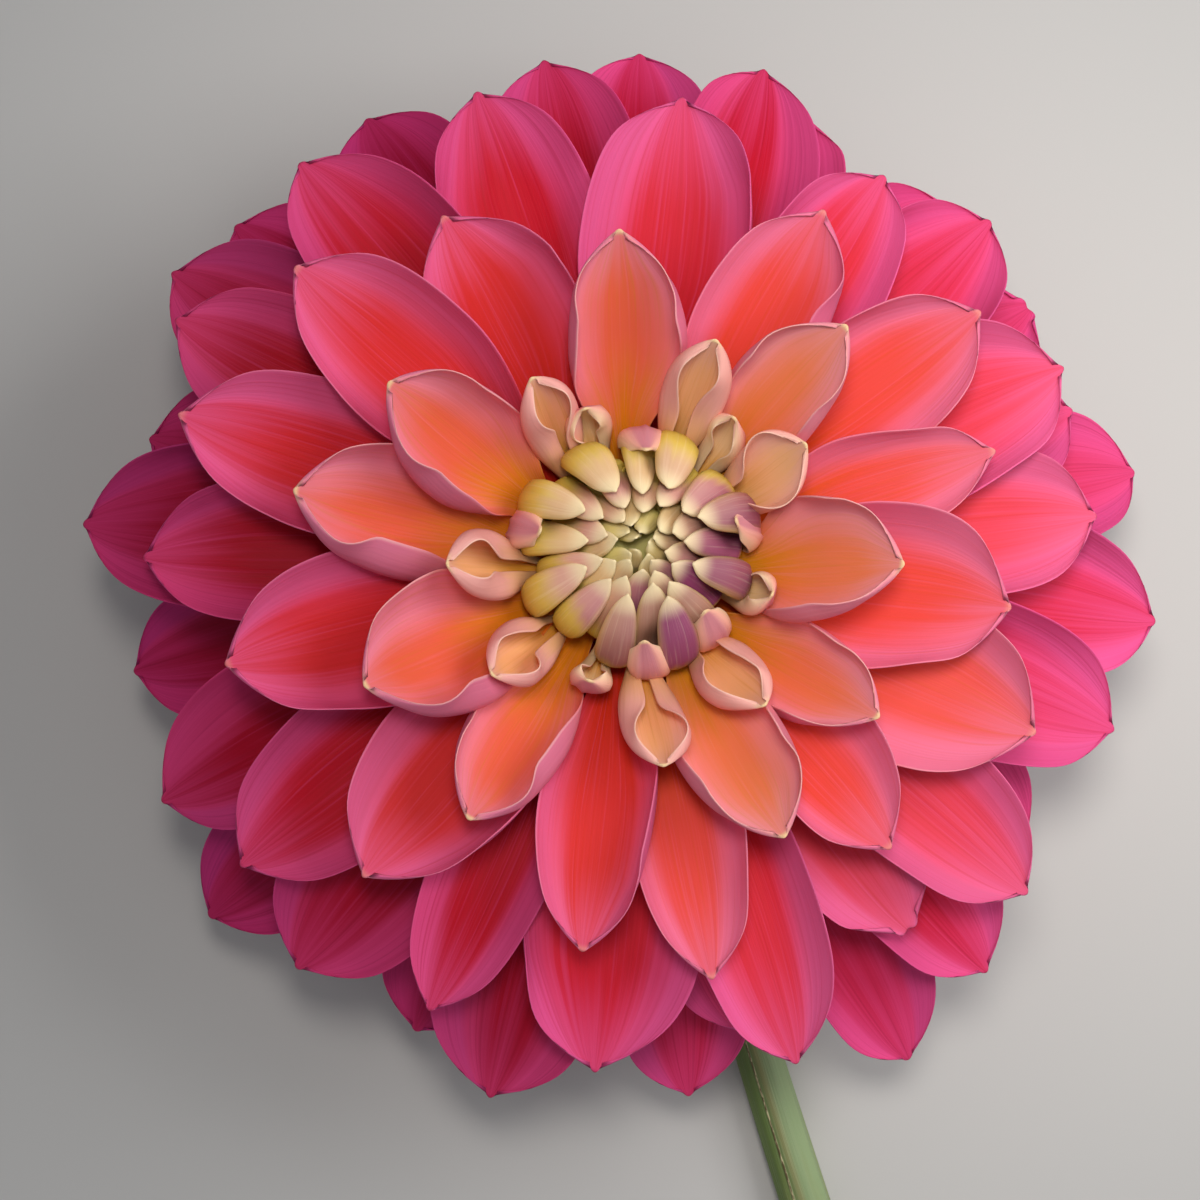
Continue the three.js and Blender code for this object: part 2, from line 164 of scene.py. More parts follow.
def draw(seed):
    """A repeatable draw from 0 to 1 for each whole number."""
    value = math.sin(seed * 127.1 + 311.7) * 43758.5453
    return value - math.floor(value)


def swung(spread, seed):
    """A draw around 0 that spreads this far in all."""
    return spread * (draw(seed) - 0.5)


def varied(spread, seed):
    """A draw around 1 that spreads this far in all."""
    return 1 + swung(spread, seed)


def smooth(value, low, high):
    """0 below low, 1 above high and a smooth step between."""
    t = np.clip((value - low) / (high - low), 0, 1)
    return t * t * (3 - 2 * t)


print("first draws:", [round(draw(seed), 2) for seed in range(4)])

# %% [markdown]
# ## Where a petal lies
# Each petal's middle line is a curve in the upright plane through the bloom's axis. It leaves the receptacle
# at one slope and ends at another. The bloom leans a little, so its layers shift sideways with height. A
# Blender curve could hold such a line, but the formula gives the tangents that the blade needs as well.

# %% Middle lines
HANDLE = 0.38


def in_bloom(out, bearing, up):
    """Points in metres, from their distance to the bloom's axis, bearing in degrees and height."""
    shift = BLOOM["lean_per_mm"] * (up - BLOOM["lean_from"])
    lean = math.radians(BLOOM["lean_bearing"])
    angle = np.radians(bearing)
    return MM * np.column_stack(
        [
            BLOOM["x"] + out * np.cos(angle) + shift * math.cos(lean),
            BLOOM["y"] + out * np.sin(angle) + shift * math.sin(lean),
            up * np.ones_like(out),
        ]
    )


def bezier(knots, s):
    """Points and unit tangents of a curve through two, three or four knots."""
    knots = [np.array(k, float) for k in knots]
    layers = [[k[None, :] * np.ones((len(s), 1)) for k in knots]]
    share = s[:, None]
    while len(layers[-1]) > 2:
        layers.append([a + (b - a) * share for a, b in zip(layers[-1], layers[-1][1:])])
    a, b = layers[-1]
    along = (b - a) / np.linalg.norm(b - a, axis=1)[:, None]
    return a + (b - a) * share, along


def middle_knots(petal):
    start = np.array(petal["root"], float)
    end = np.array([petal["reach"], petal["tip"]], float)
    handle = HANDLE * np.linalg.norm(end - start)
    rise, fall = math.radians(petal["rise"]), math.radians(petal["fall"])
    leave = start + handle * np.array([math.cos(rise), math.sin(rise)])
    arrive = end - handle * np.array([math.cos(fall), math.sin(fall)])
    return [start, leave, arrive, end]


sample = middle_knots({"root": (8, 34), "reach": 48, "tip": 50, "rise": 38, "fall": 22})
print("half-way along a petal:", bezier(sample, np.array([0.5]))[0].round(1))

# %% [markdown]
# ## The outline and the section
# Seen flat, a petal grows from a narrow claw to its widest place and closes to a blunt tip. Cut across, it
# turns up from the middle to a crease, and from there its margin folds up further. Some margins curl over.
# The section is found by adding up its slope in small steps, so a fold past upright needs no special case.

# %% Outline and section
OUTLINE = {"claw": 0.18, "widest": 0.62, "squareness": 2.4, "bluntness": 0.56}
CREASE = {"from": 0.44, "at": 0.58, "to": 0.88, "share": 0.45, "width": 0.06}
SECTION_STEPS = 24


def outline(s):
    widest = OUTLINE["widest"]
    grow = OUTLINE["claw"] + (1 - OUTLINE["claw"]) * np.sin(np.pi / 2 * np.minimum(s / widest, 1)) ** 2
    t = np.clip((s - widest) / (1 - widest), 0, 1)
    return np.where(s < widest, grow, (1 - t ** OUTLINE["squareness"]) ** OUTLINE["bluntness"])


def section(petal, u, bend, curl):
    """How far across and up the section has come at u, and its slope there.

    bend scales its slopes, and curl is what the margins fold further, in degrees. A margin that curls takes
    width from the petal, so the section is drawn larger, until it is as wide as it was without the curl.
    """
    crease = np.where(u < 0, *petal["creases"])[:, None]

    def slope_at(v, further):
        sharp = smooth(v, crease - CREASE["width"], crease + CREASE["width"])
        soft = smooth(v, CREASE["from"], CREASE["to"])
        folded = CREASE["share"] * sharp + (1 - CREASE["share"]) * soft
        fold = (petal["fold"] + further[:, None]) * folded
        return bend[:, None] * np.radians(petal["cup"] * v / CREASE["at"] + fold)

    steps = (np.arange(SECTION_STEPS) + 0.5)[None, :] / SECTION_STEPS
    widths = [np.cumsum(np.cos(slope_at(steps, further)), axis=1).max(1) for further in (0 * curl, curl)]
    size = widths[0] / widths[1]
    slopes = slope_at(np.abs(u)[:, None] * steps, curl)
    at_u = slope_at(np.abs(u)[:, None], curl)[:, 0]
    return size * u * np.cos(slopes).mean(1), size * np.abs(u) * np.sin(slopes).mean(1), np.sign(u) * at_u


print("outline:", outline(np.linspace(0, 1, 6)).round(2))

# %% [markdown]
# ## Tips, grooves and waves
# The solid's blade is smooth. A real one has a tip with a small point or a notch, grooves that run from the
# claw to the tip and a slow wave along its rims, and a hood's back stands out. All of them are small, so that
# the form stays the solid's. Most grow from the claw on and ease off at the tip, so they share one swell.

# %% Small forms
TIP = {"half_from": 0.7, "from": 0.88, "point_from": 0.94, "point_width": 0.6, "notch_width": 0.35}
GROOVES = {"places": (-0.4, -0.13, 0.3), "width": 0.06}
WAVE = {"turns": 1.3, "lag": 0.2}
WALL = {"thin_rim": 0.7, "rim_power": 1.4, "thin_tip": 0.5, "tip_from": 0.6}
RELIEF = {"from": 0.08, "full": 0.3, "ease": 1, "ease_from": 0.8, "to": 0.98}
CURL = {"from": 0.2, "full": 0.6, "ease": 0.7, "ease_from": 0.75, "to": 1}
HOOD = {"from": 0.1, "full": 0.4, "ease": 0.6, "ease_from": 0.75, "to": 1}


def swell(s, form):
    """Grows from 0 to 1 along a petal and eases off again towards its tip."""
    eased = 1 - form["ease"] * smooth(s, form["ease_from"], form["to"])
    return smooth(s, form["from"], form["full"]) * eased


def slip_at_tip(petal, u, s):
    """How far the end of the blade slips along the petal: a round end, a point or a notch."""
    round_off = petal["tip_half"] * (1 - np.sqrt(np.clip(1 - u**2, 0, 1)))
    notch = petal["notch"] * np.exp(-((u / TIP["notch_width"]) ** 2))
    point = petal["point"] * smooth(s, TIP["point_from"], 1) * np.exp(-((u / TIP["point_width"]) ** 2))
    return point - smooth(s, TIP["from"], 1) * (round_off + notch)


def relief(petal, u, s):
    """How far grooves and a wave lift the blade."""
    grooves = sum(
        depth * np.exp(-(((u - place) / GROOVES["width"]) ** 2))
        for place, depth in zip(GROOVES["places"], petal["grooves"])
    )
    turns = WAVE["turns"] * s + petal["phase"] + WAVE["lag"] * np.sign(u)
    wave = petal["wave"] * u**2 * np.sin(2 * np.pi * turns)
    return swell(s, RELIEF) * (wave - grooves)


def thickness(petal, u, s):
    at_rim = 1 - WALL["thin_rim"] * np.abs(u) ** WALL["rim_power"]
    return petal["thick"] * at_rim * (1 - WALL["thin_tip"] * smooth(s, WALL["tip_from"], 1))


# %% [markdown]
# ## Laying the blank
# Every vertex of the blank is carried to its place on the petal: along the middle line, out over the section
# and off the blade by half its thickness. The lowest petals would dip below the surface that the flower lies
# on, so they are eased onto it. Numbers are in millimetres until the last line.

# %% Lay a petal
PRESSED_UP, PRESSED_SOFTNESS = 0.35, 0.3
LOWEST = 0.02
ON_RIM, RIM_POWER = 0.9999, 8
SIDES_DIFFER = (0.2, 0.7)


def lie_down(middle, along):
    """Eases a middle line that would sink below the surface onto it."""
    over = middle[:, 1] - PRESSED_UP
    eased = 0.5 * (over + np.sqrt(over**2 + PRESSED_SOFTNESS))
    middle[:, 1] = PRESSED_UP + eased
    along[:, 1] *= 1 - np.clip(eased - over, 0, 1)
    along /= np.linalg.norm(along, axis=1)[:, None]


def lay(petal, leaf, knots):
    """The places of a blank's vertices on one petal, in metres."""
    u, s, w = leaf.T
    middle, along = bezier(knots, s)
    if knots[-1][1] < 0:
        lie_down(middle, along)

    tip_half = petal["tip_half"] * smooth(s, TIP["half_from"], 1)
    half = ((petal["width"] / 2 * outline(s)) ** 3 + tip_half**3) ** (1 / 3)
    opened = 1 - petal["opens"] * smooth(s, petal["opens_from"], 1)
    uneven = 1 + petal["uneven"] * np.sign(u) * smooth(s, *SIDES_DIFFER)
    curl = np.where(u < 0, *petal["curl"]) * swell(s, CURL)
    across, raised, slope = section(petal, u, opened * uneven, curl)

    thick = thickness(petal, u, s)
    side_rim, end_rim = np.abs(u) > ON_RIM, s > ON_RIM
    bulge = np.where((side_rim | end_rim) & (np.abs(w) < 0.5), thick / 2, 0)
    lift = w * thick / 2 + relief(petal, u, s)
    aside = half * across - lift * np.sin(slope) + bulge * np.sign(u) * side_rim * np.cos(slope)
    rounding = bulge * np.abs(u) ** RIM_POWER * np.sin(np.abs(slope))
    height = half * raised + lift * np.cos(slope) + rounding - petal["proud"] * swell(s, HOOD)

    roll = math.radians(petal["roll"])
    aside, height = (
        aside * math.cos(roll) - height * math.sin(roll),
        aside * math.sin(roll) + height * math.cos(roll),
    )
    aside = aside + petal["sweep"] * s**2
    slip = slip_at_tip(petal, u, s) + bulge * end_rim
    out = middle[:, 0] - height * along[:, 1] + slip * along[:, 0]
    up = middle[:, 1] + height * along[:, 0] + slip * along[:, 1]
    bearing = petal["bearing"] + np.degrees(np.arctan2(aside, out))
    return in_bloom(np.hypot(out, aside), bearing, np.maximum(up, LOWEST))


def noted(mesh, name):
    flat = np.empty(len(mesh.vertices) * 3)
    mesh.attributes[name].data.foreach_get("vector", flat)
    return flat.reshape(-1, 3)


def copy_of(blank, name):
    piece = blank.copy()
    piece.data = blank.data.copy()
    piece.name = name
    bpy.context.collection.objects.link(piece)
    return piece


def laid(blank, petal, knots, stage):
    """A copy of the blank on one petal's place, with its stage, a draw and its tone, which in the rows
    carries painted light, noted for the paint.
    """
    piece = copy_of(blank, "petal")
    move_to(piece.data, lay(petal, noted(piece.data, "leaf"), knots))
    life = [stage, draw(petal["seed"] + 31), petal["tone_and_light"]]
    note(piece.data, "life", np.tile(life, (len(piece.data.vertices), 1)))
    return piece


# %% [markdown]
# ## What each petal has of its own
# Beyond its row's numbers, a petal has its own creases, grooves, wave, sweep and curls. Its tip ends in a
# point or, in a few of the older ones, in a notch. Tone says how pale it is among its neighbours, and in the
# rows it carries painted light and shade as well.

# %% A petal's own shape
NOTCH_CHANCE, NOTCHED_UNTIL = 0.08, 0.7
CURL_CHANCE = 40
OWN = {
    "crease": 0.52, "crease_spread": 0.12, "groove": 0.34, "ridge": 0.06, "wave": 0.6, "point": 0.25,
    "uneven": 0.24, "sweep": 1.2, "thick": 0.7,
}
PLAIN_TIP = {"tip_half": 0.8, "notch": 0}
NOTCHED_TIP = {"tip_half": 1.8, "notch": 0.6, "point": 0}


def own_shape(seed, youth):
    notched = draw(seed + 41) < NOTCH_CHANCE and youth < NOTCHED_UNTIL
    return {
        "seed": seed,
        "tone_and_light": draw(seed + 37),
        "creases": [OWN["crease"] + swung(OWN["crease_spread"], seed + step) for step in (43, 47)],
        "grooves": [
            OWN["groove"] * draw(seed + 53 + k) - OWN["ridge"] for k in range(len(GROOVES["places"]))
        ],
        "wave": OWN["wave"] * draw(seed + 61),
        "phase": draw(seed + 67),
        "point": OWN["point"] * draw(seed + 71),
        "opens": 0,
        "opens_from": 0.3,
        "uneven": swung(OWN["uneven"], seed + 73),
        "sweep": swung(OWN["sweep"], seed + 79),
        "proud": 0,
        "thick": OWN["thick"],
        "curl": [CURL_CHANCE * draw(seed + step) ** 3 for step in (83, 89)],
        **(NOTCHED_TIP if notched else PLAIN_TIP),
    }


# %% [markdown]
# ## The rows of petals
# The rows go from the back of the bloom to its middle, and they repeat what shaped the solids: slopes,
# widths and the bearing and reach of every petal. The rest is the scene's own. Youth runs from 0 at the back
# to 1 at the middle, and the materials turn it into colour. The curls of two rows are set petal by petal,
# with a number for each margin, and so is how far each quill opens.

# %% Rows
ROWS = [
    {
        "node": "outer_petals", "youth": 0.0, "stagger": 0,
        "root": (9, 24.2), "rise": -22, "fall": -14, "tip": -2.6, "width": 15, "cup": 10, "fold": 17,
        "bearings": [4, 39, 76, 112, 148, 183, 218, 248, 292, 327],
        "reaches": [43, 42, 44, 43, 42, 44, 43, 45, 45, 42],
    },
    {
        "node": "outer_petals", "youth": 0.1,
        "root": (9, 25.9), "rise": -4, "fall": -34, "tip": 9.5, "width": 17, "cup": 12, "fold": 21,
        "bearings": [22, 52, 82, 112, 142, 171, 201, 231, 257, 285, 318, 350],
        "reaches": [53, 52, 54, 52, 54, 53, 52, 53, 52, 53, 52, 54],
    },
    {
        "node": "outer_petals", "youth": 0.24,
        "root": (9, 27.6), "rise": 12, "fall": -30, "tip": 19, "cup": 14, "fold": 25,
        "bearings": [18, 33, 52, 71, 101, 120, 146, 174, 203, 229, 262, 285, 311, 356],
        "reaches": [58, 58, 59, 61, 61, 60, 56, 56, 60, 56, 59, 64, 56, 61],
        "widths": [19.3, 19.8, 20.3, 19.8, 20.7, 19.8, 20.3, 19.3, 19.8, 19.3, 18.8, 17.9, 19.8, 19.8],
    },
    {
        "node": "middle_petals", "youth": 0.4,
        "root": (8.6, 30.2), "rise": 21, "fall": -20, "tip": 30, "cup": 14, "fold": 28,
        "bearings": [3, 27, 57.5, 82, 130, 158, 190, 214, 239, 268, 295.5, 325, 338.5],
        "reaches": [54, 57, 59, 58, 61, 61, 58, 58, 61, 54, 61, 58, 60.5],
        "widths": [19.8, 20.3, 20.3, 19.8, 21.2, 21.2, 20.7, 23.6, 24.6, 19.3, 19.8, 19.8, 20.7],
    },
    {
        "node": "middle_petals", "youth": 0.54, "stagger": -1,
        "root": (8.2, 32), "rise": 28, "fall": -6, "tip": 40, "cup": 15, "fold": 31,
        "bearings": [7, 39.5, 67, 91.5, 113.5, 136, 163, 202, 229, 250, 271, 290, 303, 348],
        "reaches": [52, 51, 51, 54.5, 57, 57, 54, 55, 55, 57, 59, 52, 57.5, 52],
        "widths": [21.7, 18.8, 21.7, 20.3, 20.7, 20.3, 20.3, 21.7, 15.4, 24.1, 18.8, 19.3, 19.8, 20.7],
    },
    {
        "node": "coral_petals", "youth": 0.7,
        "root": (8, 34.6), "rise": 38, "fall": 22, "tip": 50, "cup": 16, "fold": 35,
        "bearings": [17, 44, 105, 125.5, 147, 180.5, 214, 245, 263, 293, 317.5, 333, 358],
        "reaches": [45, 41, 41.5, 48, 52, 47, 47, 45, 48, 43, 48, 41, 40],
        "widths": [18.8, 18.3, 19.8, 19.3, 20.3, 21.2, 21.2, 15.9, 15.4, 16.7, 23.2, 22.2, 13.5],
        "curls": [
            (5, 20), (50, 5), (50, 0), (20, 5), (0, 15), (5, 20), (0, 25),
            (5, 30), (10, 20), (5, 20), (0, 15), (0, 15), (15, 15),
        ],
    },
    {
        "node": "inner_petals", "youth": 0.88, "stagger": -1,
        "root": (7.8, 37.2), "rise": 30, "fall": 44, "tip": 56, "cup": 20, "fold": 41,
        "bearings": [29, 77, 134, 157, 193, 222, 278, 305, 336],
        "reaches": [31, 33, 32, 38, 34.5, 36, 36, 32, 28],
        "widths": [14.5, 15.9, 17.4, 18.8, 19.8, 15.4, 15, 13.2, 17.4],
        "curls": [(30, 50), (60, 30), (15, 60), (10, 60), (10, 50), (35, 45), (40, 45), (40, 30), (30, 40)],
    },
    {
        "node": "inner_petals", "youth": 0.97,
        "root": (7.6, 38.6), "rise": 22, "fall": 68, "tip": 54, "width": 14.5, "cup": 50, "fold": 84,
        "bearings": [12, 52, 109, 171, 206, 257, 289],
        "reaches": [20.5, 22.5, 21, 21.5, 22, 25, 22.5],
        "opens": [0.6, 0.3, 0.4, 0.35, 0.4, 0.5, 0.3],
    },
]
print("petals in each row:", [len(row["bearings"]) for row in ROWS])

# %% [markdown]
# ## Making a row
# In all rows but the back one the petals lie alternately a little higher and lower, so that neighbours can
# overlap. The youngest row are quills: rolled petals that open at their tips, each by its own share. The
# petals towards the light are painted paler and those on the far side deeper, as painted light and shade,
# so a petal's tone comes from its bearing and a draw.

# %% Row petals
STAGGER = {"tips": 0.9, "root_share": 0.3}
VARIETY = {"width": 0.1, "bend": 0.3, "roll": 8}
OPENS, OPENS_FROM, QUILL_OPENS_FROM = 0.25, 0.75, 0.5
PAINTED_LIT_SIDE, TONE_DRAW = -18, 0.3


# Painted light and shade: a petal whose bearing points towards the light gets a high tone and is painted
# pale, one on the far side a low tone and is painted deep.
def tone_with_painted_light(bearing, seed):
    towards_light = 0.5 + 0.5 * math.cos(math.radians(bearing - PAINTED_LIT_SIDE))
    return TONE_DRAW * draw(seed + 37) + (1 - TONE_DRAW) * towards_light


def row_petals(index):
    """A row's petals, the lower ones first."""
    row = ROWS[index]
    quills = "opens" in row
    pieces = []
    for k, bearing in enumerate(row["bearings"]):
        seed = SEEDS["row"] * index + k
        lift = row.get("stagger", 1) * STAGGER["tips"] * (1 if k % 2 else -1)
        petal = {
            **own_shape(seed, row["youth"]),
            "bearing": bearing,
            "reach": row["reaches"][k],
            "width": row["widths"][k] if "widths" in row else row["width"] * varied(VARIETY["width"], seed),
            "cup": row["cup"] * varied(VARIETY["bend"], seed + 7),
            "fold": row["fold"] * varied(VARIETY["bend"], seed + 13),
            "roll": swung(VARIETY["roll"], seed + 19),
            "root": (row["root"][0], row["root"][1] + STAGGER["root_share"] * lift),
            "rise": row["rise"],
            "fall": row["fall"],
            "tip": row["tip"] + lift,
            "opens": row["opens"][k] if quills else OPENS,
            "opens_from": QUILL_OPENS_FROM if quills else OPENS_FROM,
            "tone_and_light": tone_with_painted_light(bearing, seed),
        }
        if "curls" in row:
            petal["curl"] = row["curls"][k]
        pieces.append((lift, laid(fine_blank, petal, middle_knots(petal), row["youth"])))
    return [piece for _, piece in sorted(pieces, key=lambda pair: pair[0])]


rows = [row_petals(index) for index in range(len(ROWS))]
print("petals:", sum(len(row) for row in rows))

# %% [markdown]
# ## The half-open petals
# Round the disc stand petals that are just opening. Some are still rolled and point up. The others are
# hoods that lean in over the closed buds. Three knots are enough for so short a middle line: root, belly
# and tip.

# %% Half-open petals
HALF_OPEN = {
    "bearings": [33, 71, 92, 149, 236, 263, 296, 324, 354],
    "reaches": [17.4, 15.4, 17, 15.6, 17.6, 16, 15.6, 16.2, 15.6],
    "incurved": [0.3, 5.4, 1.2, 5, 1.6, 5.4, 5.4, 0.6, 5],
    "root": (7.4, 39.4), "belly_out": 1, "belly_up": 41.4, "tip_up": 50, "roll": 16, "sweep": 3,
}
HOODED_FROM = 2
ROLLED = {"cup": 50, "fold": 84, "opens": 0.3, "opens_from": 0.5}
ROLLED_WIDTH, ROLLED_VARIETY = 10, 0.2
HOODED = {"width": 6.6, "cup": 20, "fold": 46, "proud": 0.8}


def half_open_petal(k):
    seed = SEEDS["half_open"] + k
    reach, incurved = HALF_OPEN["reaches"][k], HALF_OPEN["incurved"][k]
    petal = {
        **own_shape(seed, 1), "bearing": HALF_OPEN["bearings"][k], "wave": 0,
        "roll": swung(HALF_OPEN["roll"], seed + 3), "sweep": swung(HALF_OPEN["sweep"], seed + 11),
    }
    if incurved < HOODED_FROM:
        petal.update({**ROLLED, "width": ROLLED_WIDTH * varied(ROLLED_VARIETY, seed + 5)})
    else:
        petal.update(HOODED)
    belly = (reach + HALF_OPEN["belly_out"], HALF_OPEN["belly_up"])
    tip = (reach - incurved, HALF_OPEN["tip_up"])
    return laid(fine_blank, petal, [HALF_OPEN["root"], belly, tip], 1.0)


half_open = [half_open_petal(k) for k in range(len(HALF_OPEN["bearings"]))]
print("half-open petals:", len(half_open))

# %% [markdown]
# ## Petals on petals
# Petals that overlap have to lie on each other, not pass through each other. They are taken from the top of
# the bloom down. A map keeps, for every spot seen from above, how low the petals so far have come. A petal
# that would rise through this ceiling is pressed below it, with the push spread softly over its blade.

# %% Press the petals
PRESS = {"cell": 0.6, "half_map": 70, "most": 8, "spread": 10, "from": 0.12, "full": 0.28, "finer": 4}
PETALS_APART = 0.65


def finer(grid, times):
    """Points between those of a grid, so that they leave no gaps in a map."""
    for axis in (0, 1):
        lines = np.moveaxis(grid, axis, 0)
        between = [lines[:-1] + (lines[1:] - lines[:-1]) * k / times for k in range(times)]
        grid = np.moveaxis(np.concatenate([*between, lines[-1:]]), 0, axis)
    return grid.reshape(-1, 3)


def near(values):
    """Each value's mean with its four neighbours in a grid."""
    wide = np.pad(values, 1, mode="edge")
    return (wide[:-2, 1:-1] + wide[2:, 1:-1] + wide[1:-1, :-2] + wide[1:-1, 2:]) / 4


def on_map(points):
    corner = np.array([BLOOM["x"], BLOOM["y"]]) - PRESS["half_map"]
    x, y = ((points[:, :2] - corner) / PRESS["cell"]).astype(int).T
    return x, y


def press(petals, free, apart):
    """Presses a list of petals, from the top down, below each other. The first few are left free."""
    leaf = noted(petals[0].data, "leaf")
    spots, column = np.unique(leaf[:, :2].round(3), axis=0, return_inverse=True)
    column = column.ravel()
    count, lines = np.bincount(column), len(np.unique(spots[:, 0]))
    in_blade = spots[: len(spots) // lines, 1] > PRESS["from"]
    firm = smooth(spots[:, 1], PRESS["from"], PRESS["full"])
    cells = int(2 * PRESS["half_map"] / PRESS["cell"])
    ceiling = np.full((cells, cells), np.inf)
    moved = 0
    for number, petal in enumerate(petals):
        points = places(petal.data) / MM
        middle = np.column_stack([np.bincount(column, points[:, k]) / count for k in range(3)])
        if number >= free:
            down = np.clip(middle[:, 2] + apart - ceiling[on_map(middle)], 0, PRESS["most"]) * firm
            down = down.reshape(lines, -1)
            for _ in range(PRESS["spread"]):
                down = np.maximum(down, near(down))
            down = near(near(down)).ravel()
            down = np.minimum(down * firm, np.maximum(middle[:, 2] - PRESSED_UP, 0))
            moved = max(moved, down.max())
            points[:, 2] -= down[column]
            middle[:, 2] -= down
            move_to(petal.data, points * MM)
        blade = finer(middle.reshape(lines, -1, 3)[:, in_blade], PRESS["finer"])
        np.minimum.at(ceiling, on_map(blade), blade[:, 2])
    return moved


from_below = [petal for row in rows for petal in row] + half_open
pressed = press(from_below[::-1], len(half_open) + len(rows[-1]), PETALS_APART)
print("pressed by up to", round(pressed, 1), "mm")

# %% [markdown]
# ## The receptacle
# The petals grow from a short round block, the receptacle. Almost none of it shows, but it holds every root.
# It is drawn as a turner would: a filled circle is extruded from level to level and resized at each. A level
# is a height and a radius.

# %% Receptacle
LAYERS = {
    "outer_petals": [(22.8, 9.8), (28.8, 9.8)],
    "middle_petals": [(29.15, 9.4), (33.2, 9)],
    "coral_petals": [(33.55, 8.8), (35.9, 8.6)],
    "inner_petals": [(36.25, 8.4), (40, 8)],
    "centre_buds": [(40.4, 6.4), (43.4, 9), (44.4, 5)],
    "calyx": [(19.2, 3.6), (22.4, 8.6)],
}
TURNED_SIDES = 64


def turned(node, stage, leaf=(0, 0.02, 1)):
    """A round block on the bloom's leaning axis, painted all over like one place on a petal."""
    levels = LAYERS[node]
    deselect()
    first_up, first_radius = levels[0]
    bpy.ops.mesh.primitive_circle_add(vertices=TURNED_SIDES, radius=first_radius * MM, fill_type="NGON")
    block = bpy.context.object
    block.name = node + "_block"
    bpy.ops.object.mode_set(mode="EDIT")
    bpy.ops.mesh.select_all(action="SELECT")
    bpy.ops.transform.translate(value=(0, 0, first_up * MM))
    for (low, small), (high, wide) in zip(levels, levels[1:]):
        bpy.ops.mesh.extrude_region_move(TRANSFORM_OT_translate={"value": (0, 0, (high - low) * MM)})
        bpy.ops.transform.resize(value=(wide / small, wide / small, 1), center_override=(0, 0, high * MM))
    bpy.ops.mesh.select_all(action="SELECT")
    bpy.ops.mesh.normals_make_consistent(inside=False)
    bpy.ops.object.mode_set(mode="OBJECT")
    x, y, z = places(block.data).T / MM
    move_to(block.data, in_bloom(np.hypot(x, y), np.degrees(np.arctan2(y, x)), z))
    count = len(block.data.vertices)
    note(block.data, "leaf", np.tile(leaf, (count, 1)))
    note(block.data, "life", np.tile([stage, 0.5, 0.5], (count, 1)))
    return block


# %% [markdown]
# ## Fuse each colour
# All the petals of one colour and their level of the receptacle become one object, for one solid.

# %% Petal nodes


def joined(pieces, name):
    deselect()
    for piece in pieces:
        piece.select_set(True)
    bpy.context.view_layer.objects.active = pieces[0]
    bpy.ops.object.join()
    whole = bpy.context.object
    whole.name = name
    whole.data.name = name
    deselect()
    return whole


petal_pieces = {}
for node in ("outer_petals", "middle_petals", "coral_petals", "inner_petals"):
    indexes = [i for i, row in enumerate(ROWS) if row["node"] == node]
    petals = [petal for i in indexes for petal in rows[i]]
    if node == "inner_petals":
        petals += half_open
    block = turned(node, ROWS[indexes[-1]]["youth"])
    petal_pieces[node] = joined([block, *petals], "bloom_" + node)
    print(node, len(petals), "petals,", len(petal_pieces[node].data.polygons), "faces")

# %% [markdown]
# ## The closed buds
# The middle is a disc of closed buds in the order of growth, each turned from the last by the golden angle.
# A bud is a hooded scale: a short petal that curves over towards the centre, with its margins folded in.
# So the petal's formula serves again. The oldest buds lie over the younger ones, and pressing sees to it.

# %% Buds
DISC = {
    "buds": 42, "root": 7.8, "root_up": 41.2, "belly": 13.2, "bulge": 1.3, "belly_up": 44.6, "tip_up": 50,
    "crown": -1.5, "golden_angle": 137.508, "youngest": 3.4, "oldest": 6.2, "inwards": (0.1, 0.52),
}
BUD = {
    "swell": 1.34, "variety": 0.2, "cup": 28, "fold": 92, "proud": 0.3, "point": 0.3, "roll": 14,
    "sweep": 1.6,
}
BUDS_APART = 0.3
small_blank = petal_blank(*BLANK_CELLS["bud"])


def closed_bud(k):
    age = (DISC["buds"] - k - 0.5) / DISC["buds"]
    share = math.sqrt(age)
    rise = DISC["crown"] * (1 - age)
    low, high = DISC["inwards"]
    knots = [
        (DISC["root"] * share, DISC["root_up"]),
        (DISC["bulge"] * DISC["belly"] * share, DISC["belly_up"] + rise),
        (DISC["belly"] * share * (low + (high - low) * share), DISC["tip_up"] + rise),
    ]
    width = DISC["youngest"] + (DISC["oldest"] - DISC["youngest"]) * share
    seed = SEEDS["bud"] + k
    bud = {
        **own_shape(seed, 1), "bearing": k * DISC["golden_angle"], "wave": 0, "grooves": [0, 0, 0],
        "curl": (0, 0), "tip_half": 0.5, "thick": 0.6, "cup": BUD["cup"], "proud": BUD["proud"] * width,
        "width": BUD["swell"] * width * varied(BUD["variety"], seed + 5),
        "fold": BUD["fold"] * varied(BUD["variety"], seed + 9), "point": BUD["point"] * draw(seed + 13),
        "roll": swung(BUD["roll"], seed + 3), "sweep": swung(BUD["sweep"], seed + 11),
    }
    return laid(small_blank, bud, knots, 1 - share)


buds = [closed_bud(k) for k in range(DISC["buds"])]
print("pressed by up to", round(press(buds, 1, BUDS_APART), 1), "mm")
bud_piece = joined([turned("centre_buds", 1, leaf=(0, 0, 0)), *buds], "bloom_centre_buds")
print("buds:", len(buds), "with", len(bud_piece.data.polygons), "faces")

# %% [markdown]
# ## The calyx
# Under the bloom sit two whorls of bracts on the green base of the receptacle: eight thin ones that hold the
# back petals, and five firm ones below them. They are laid as petals are.

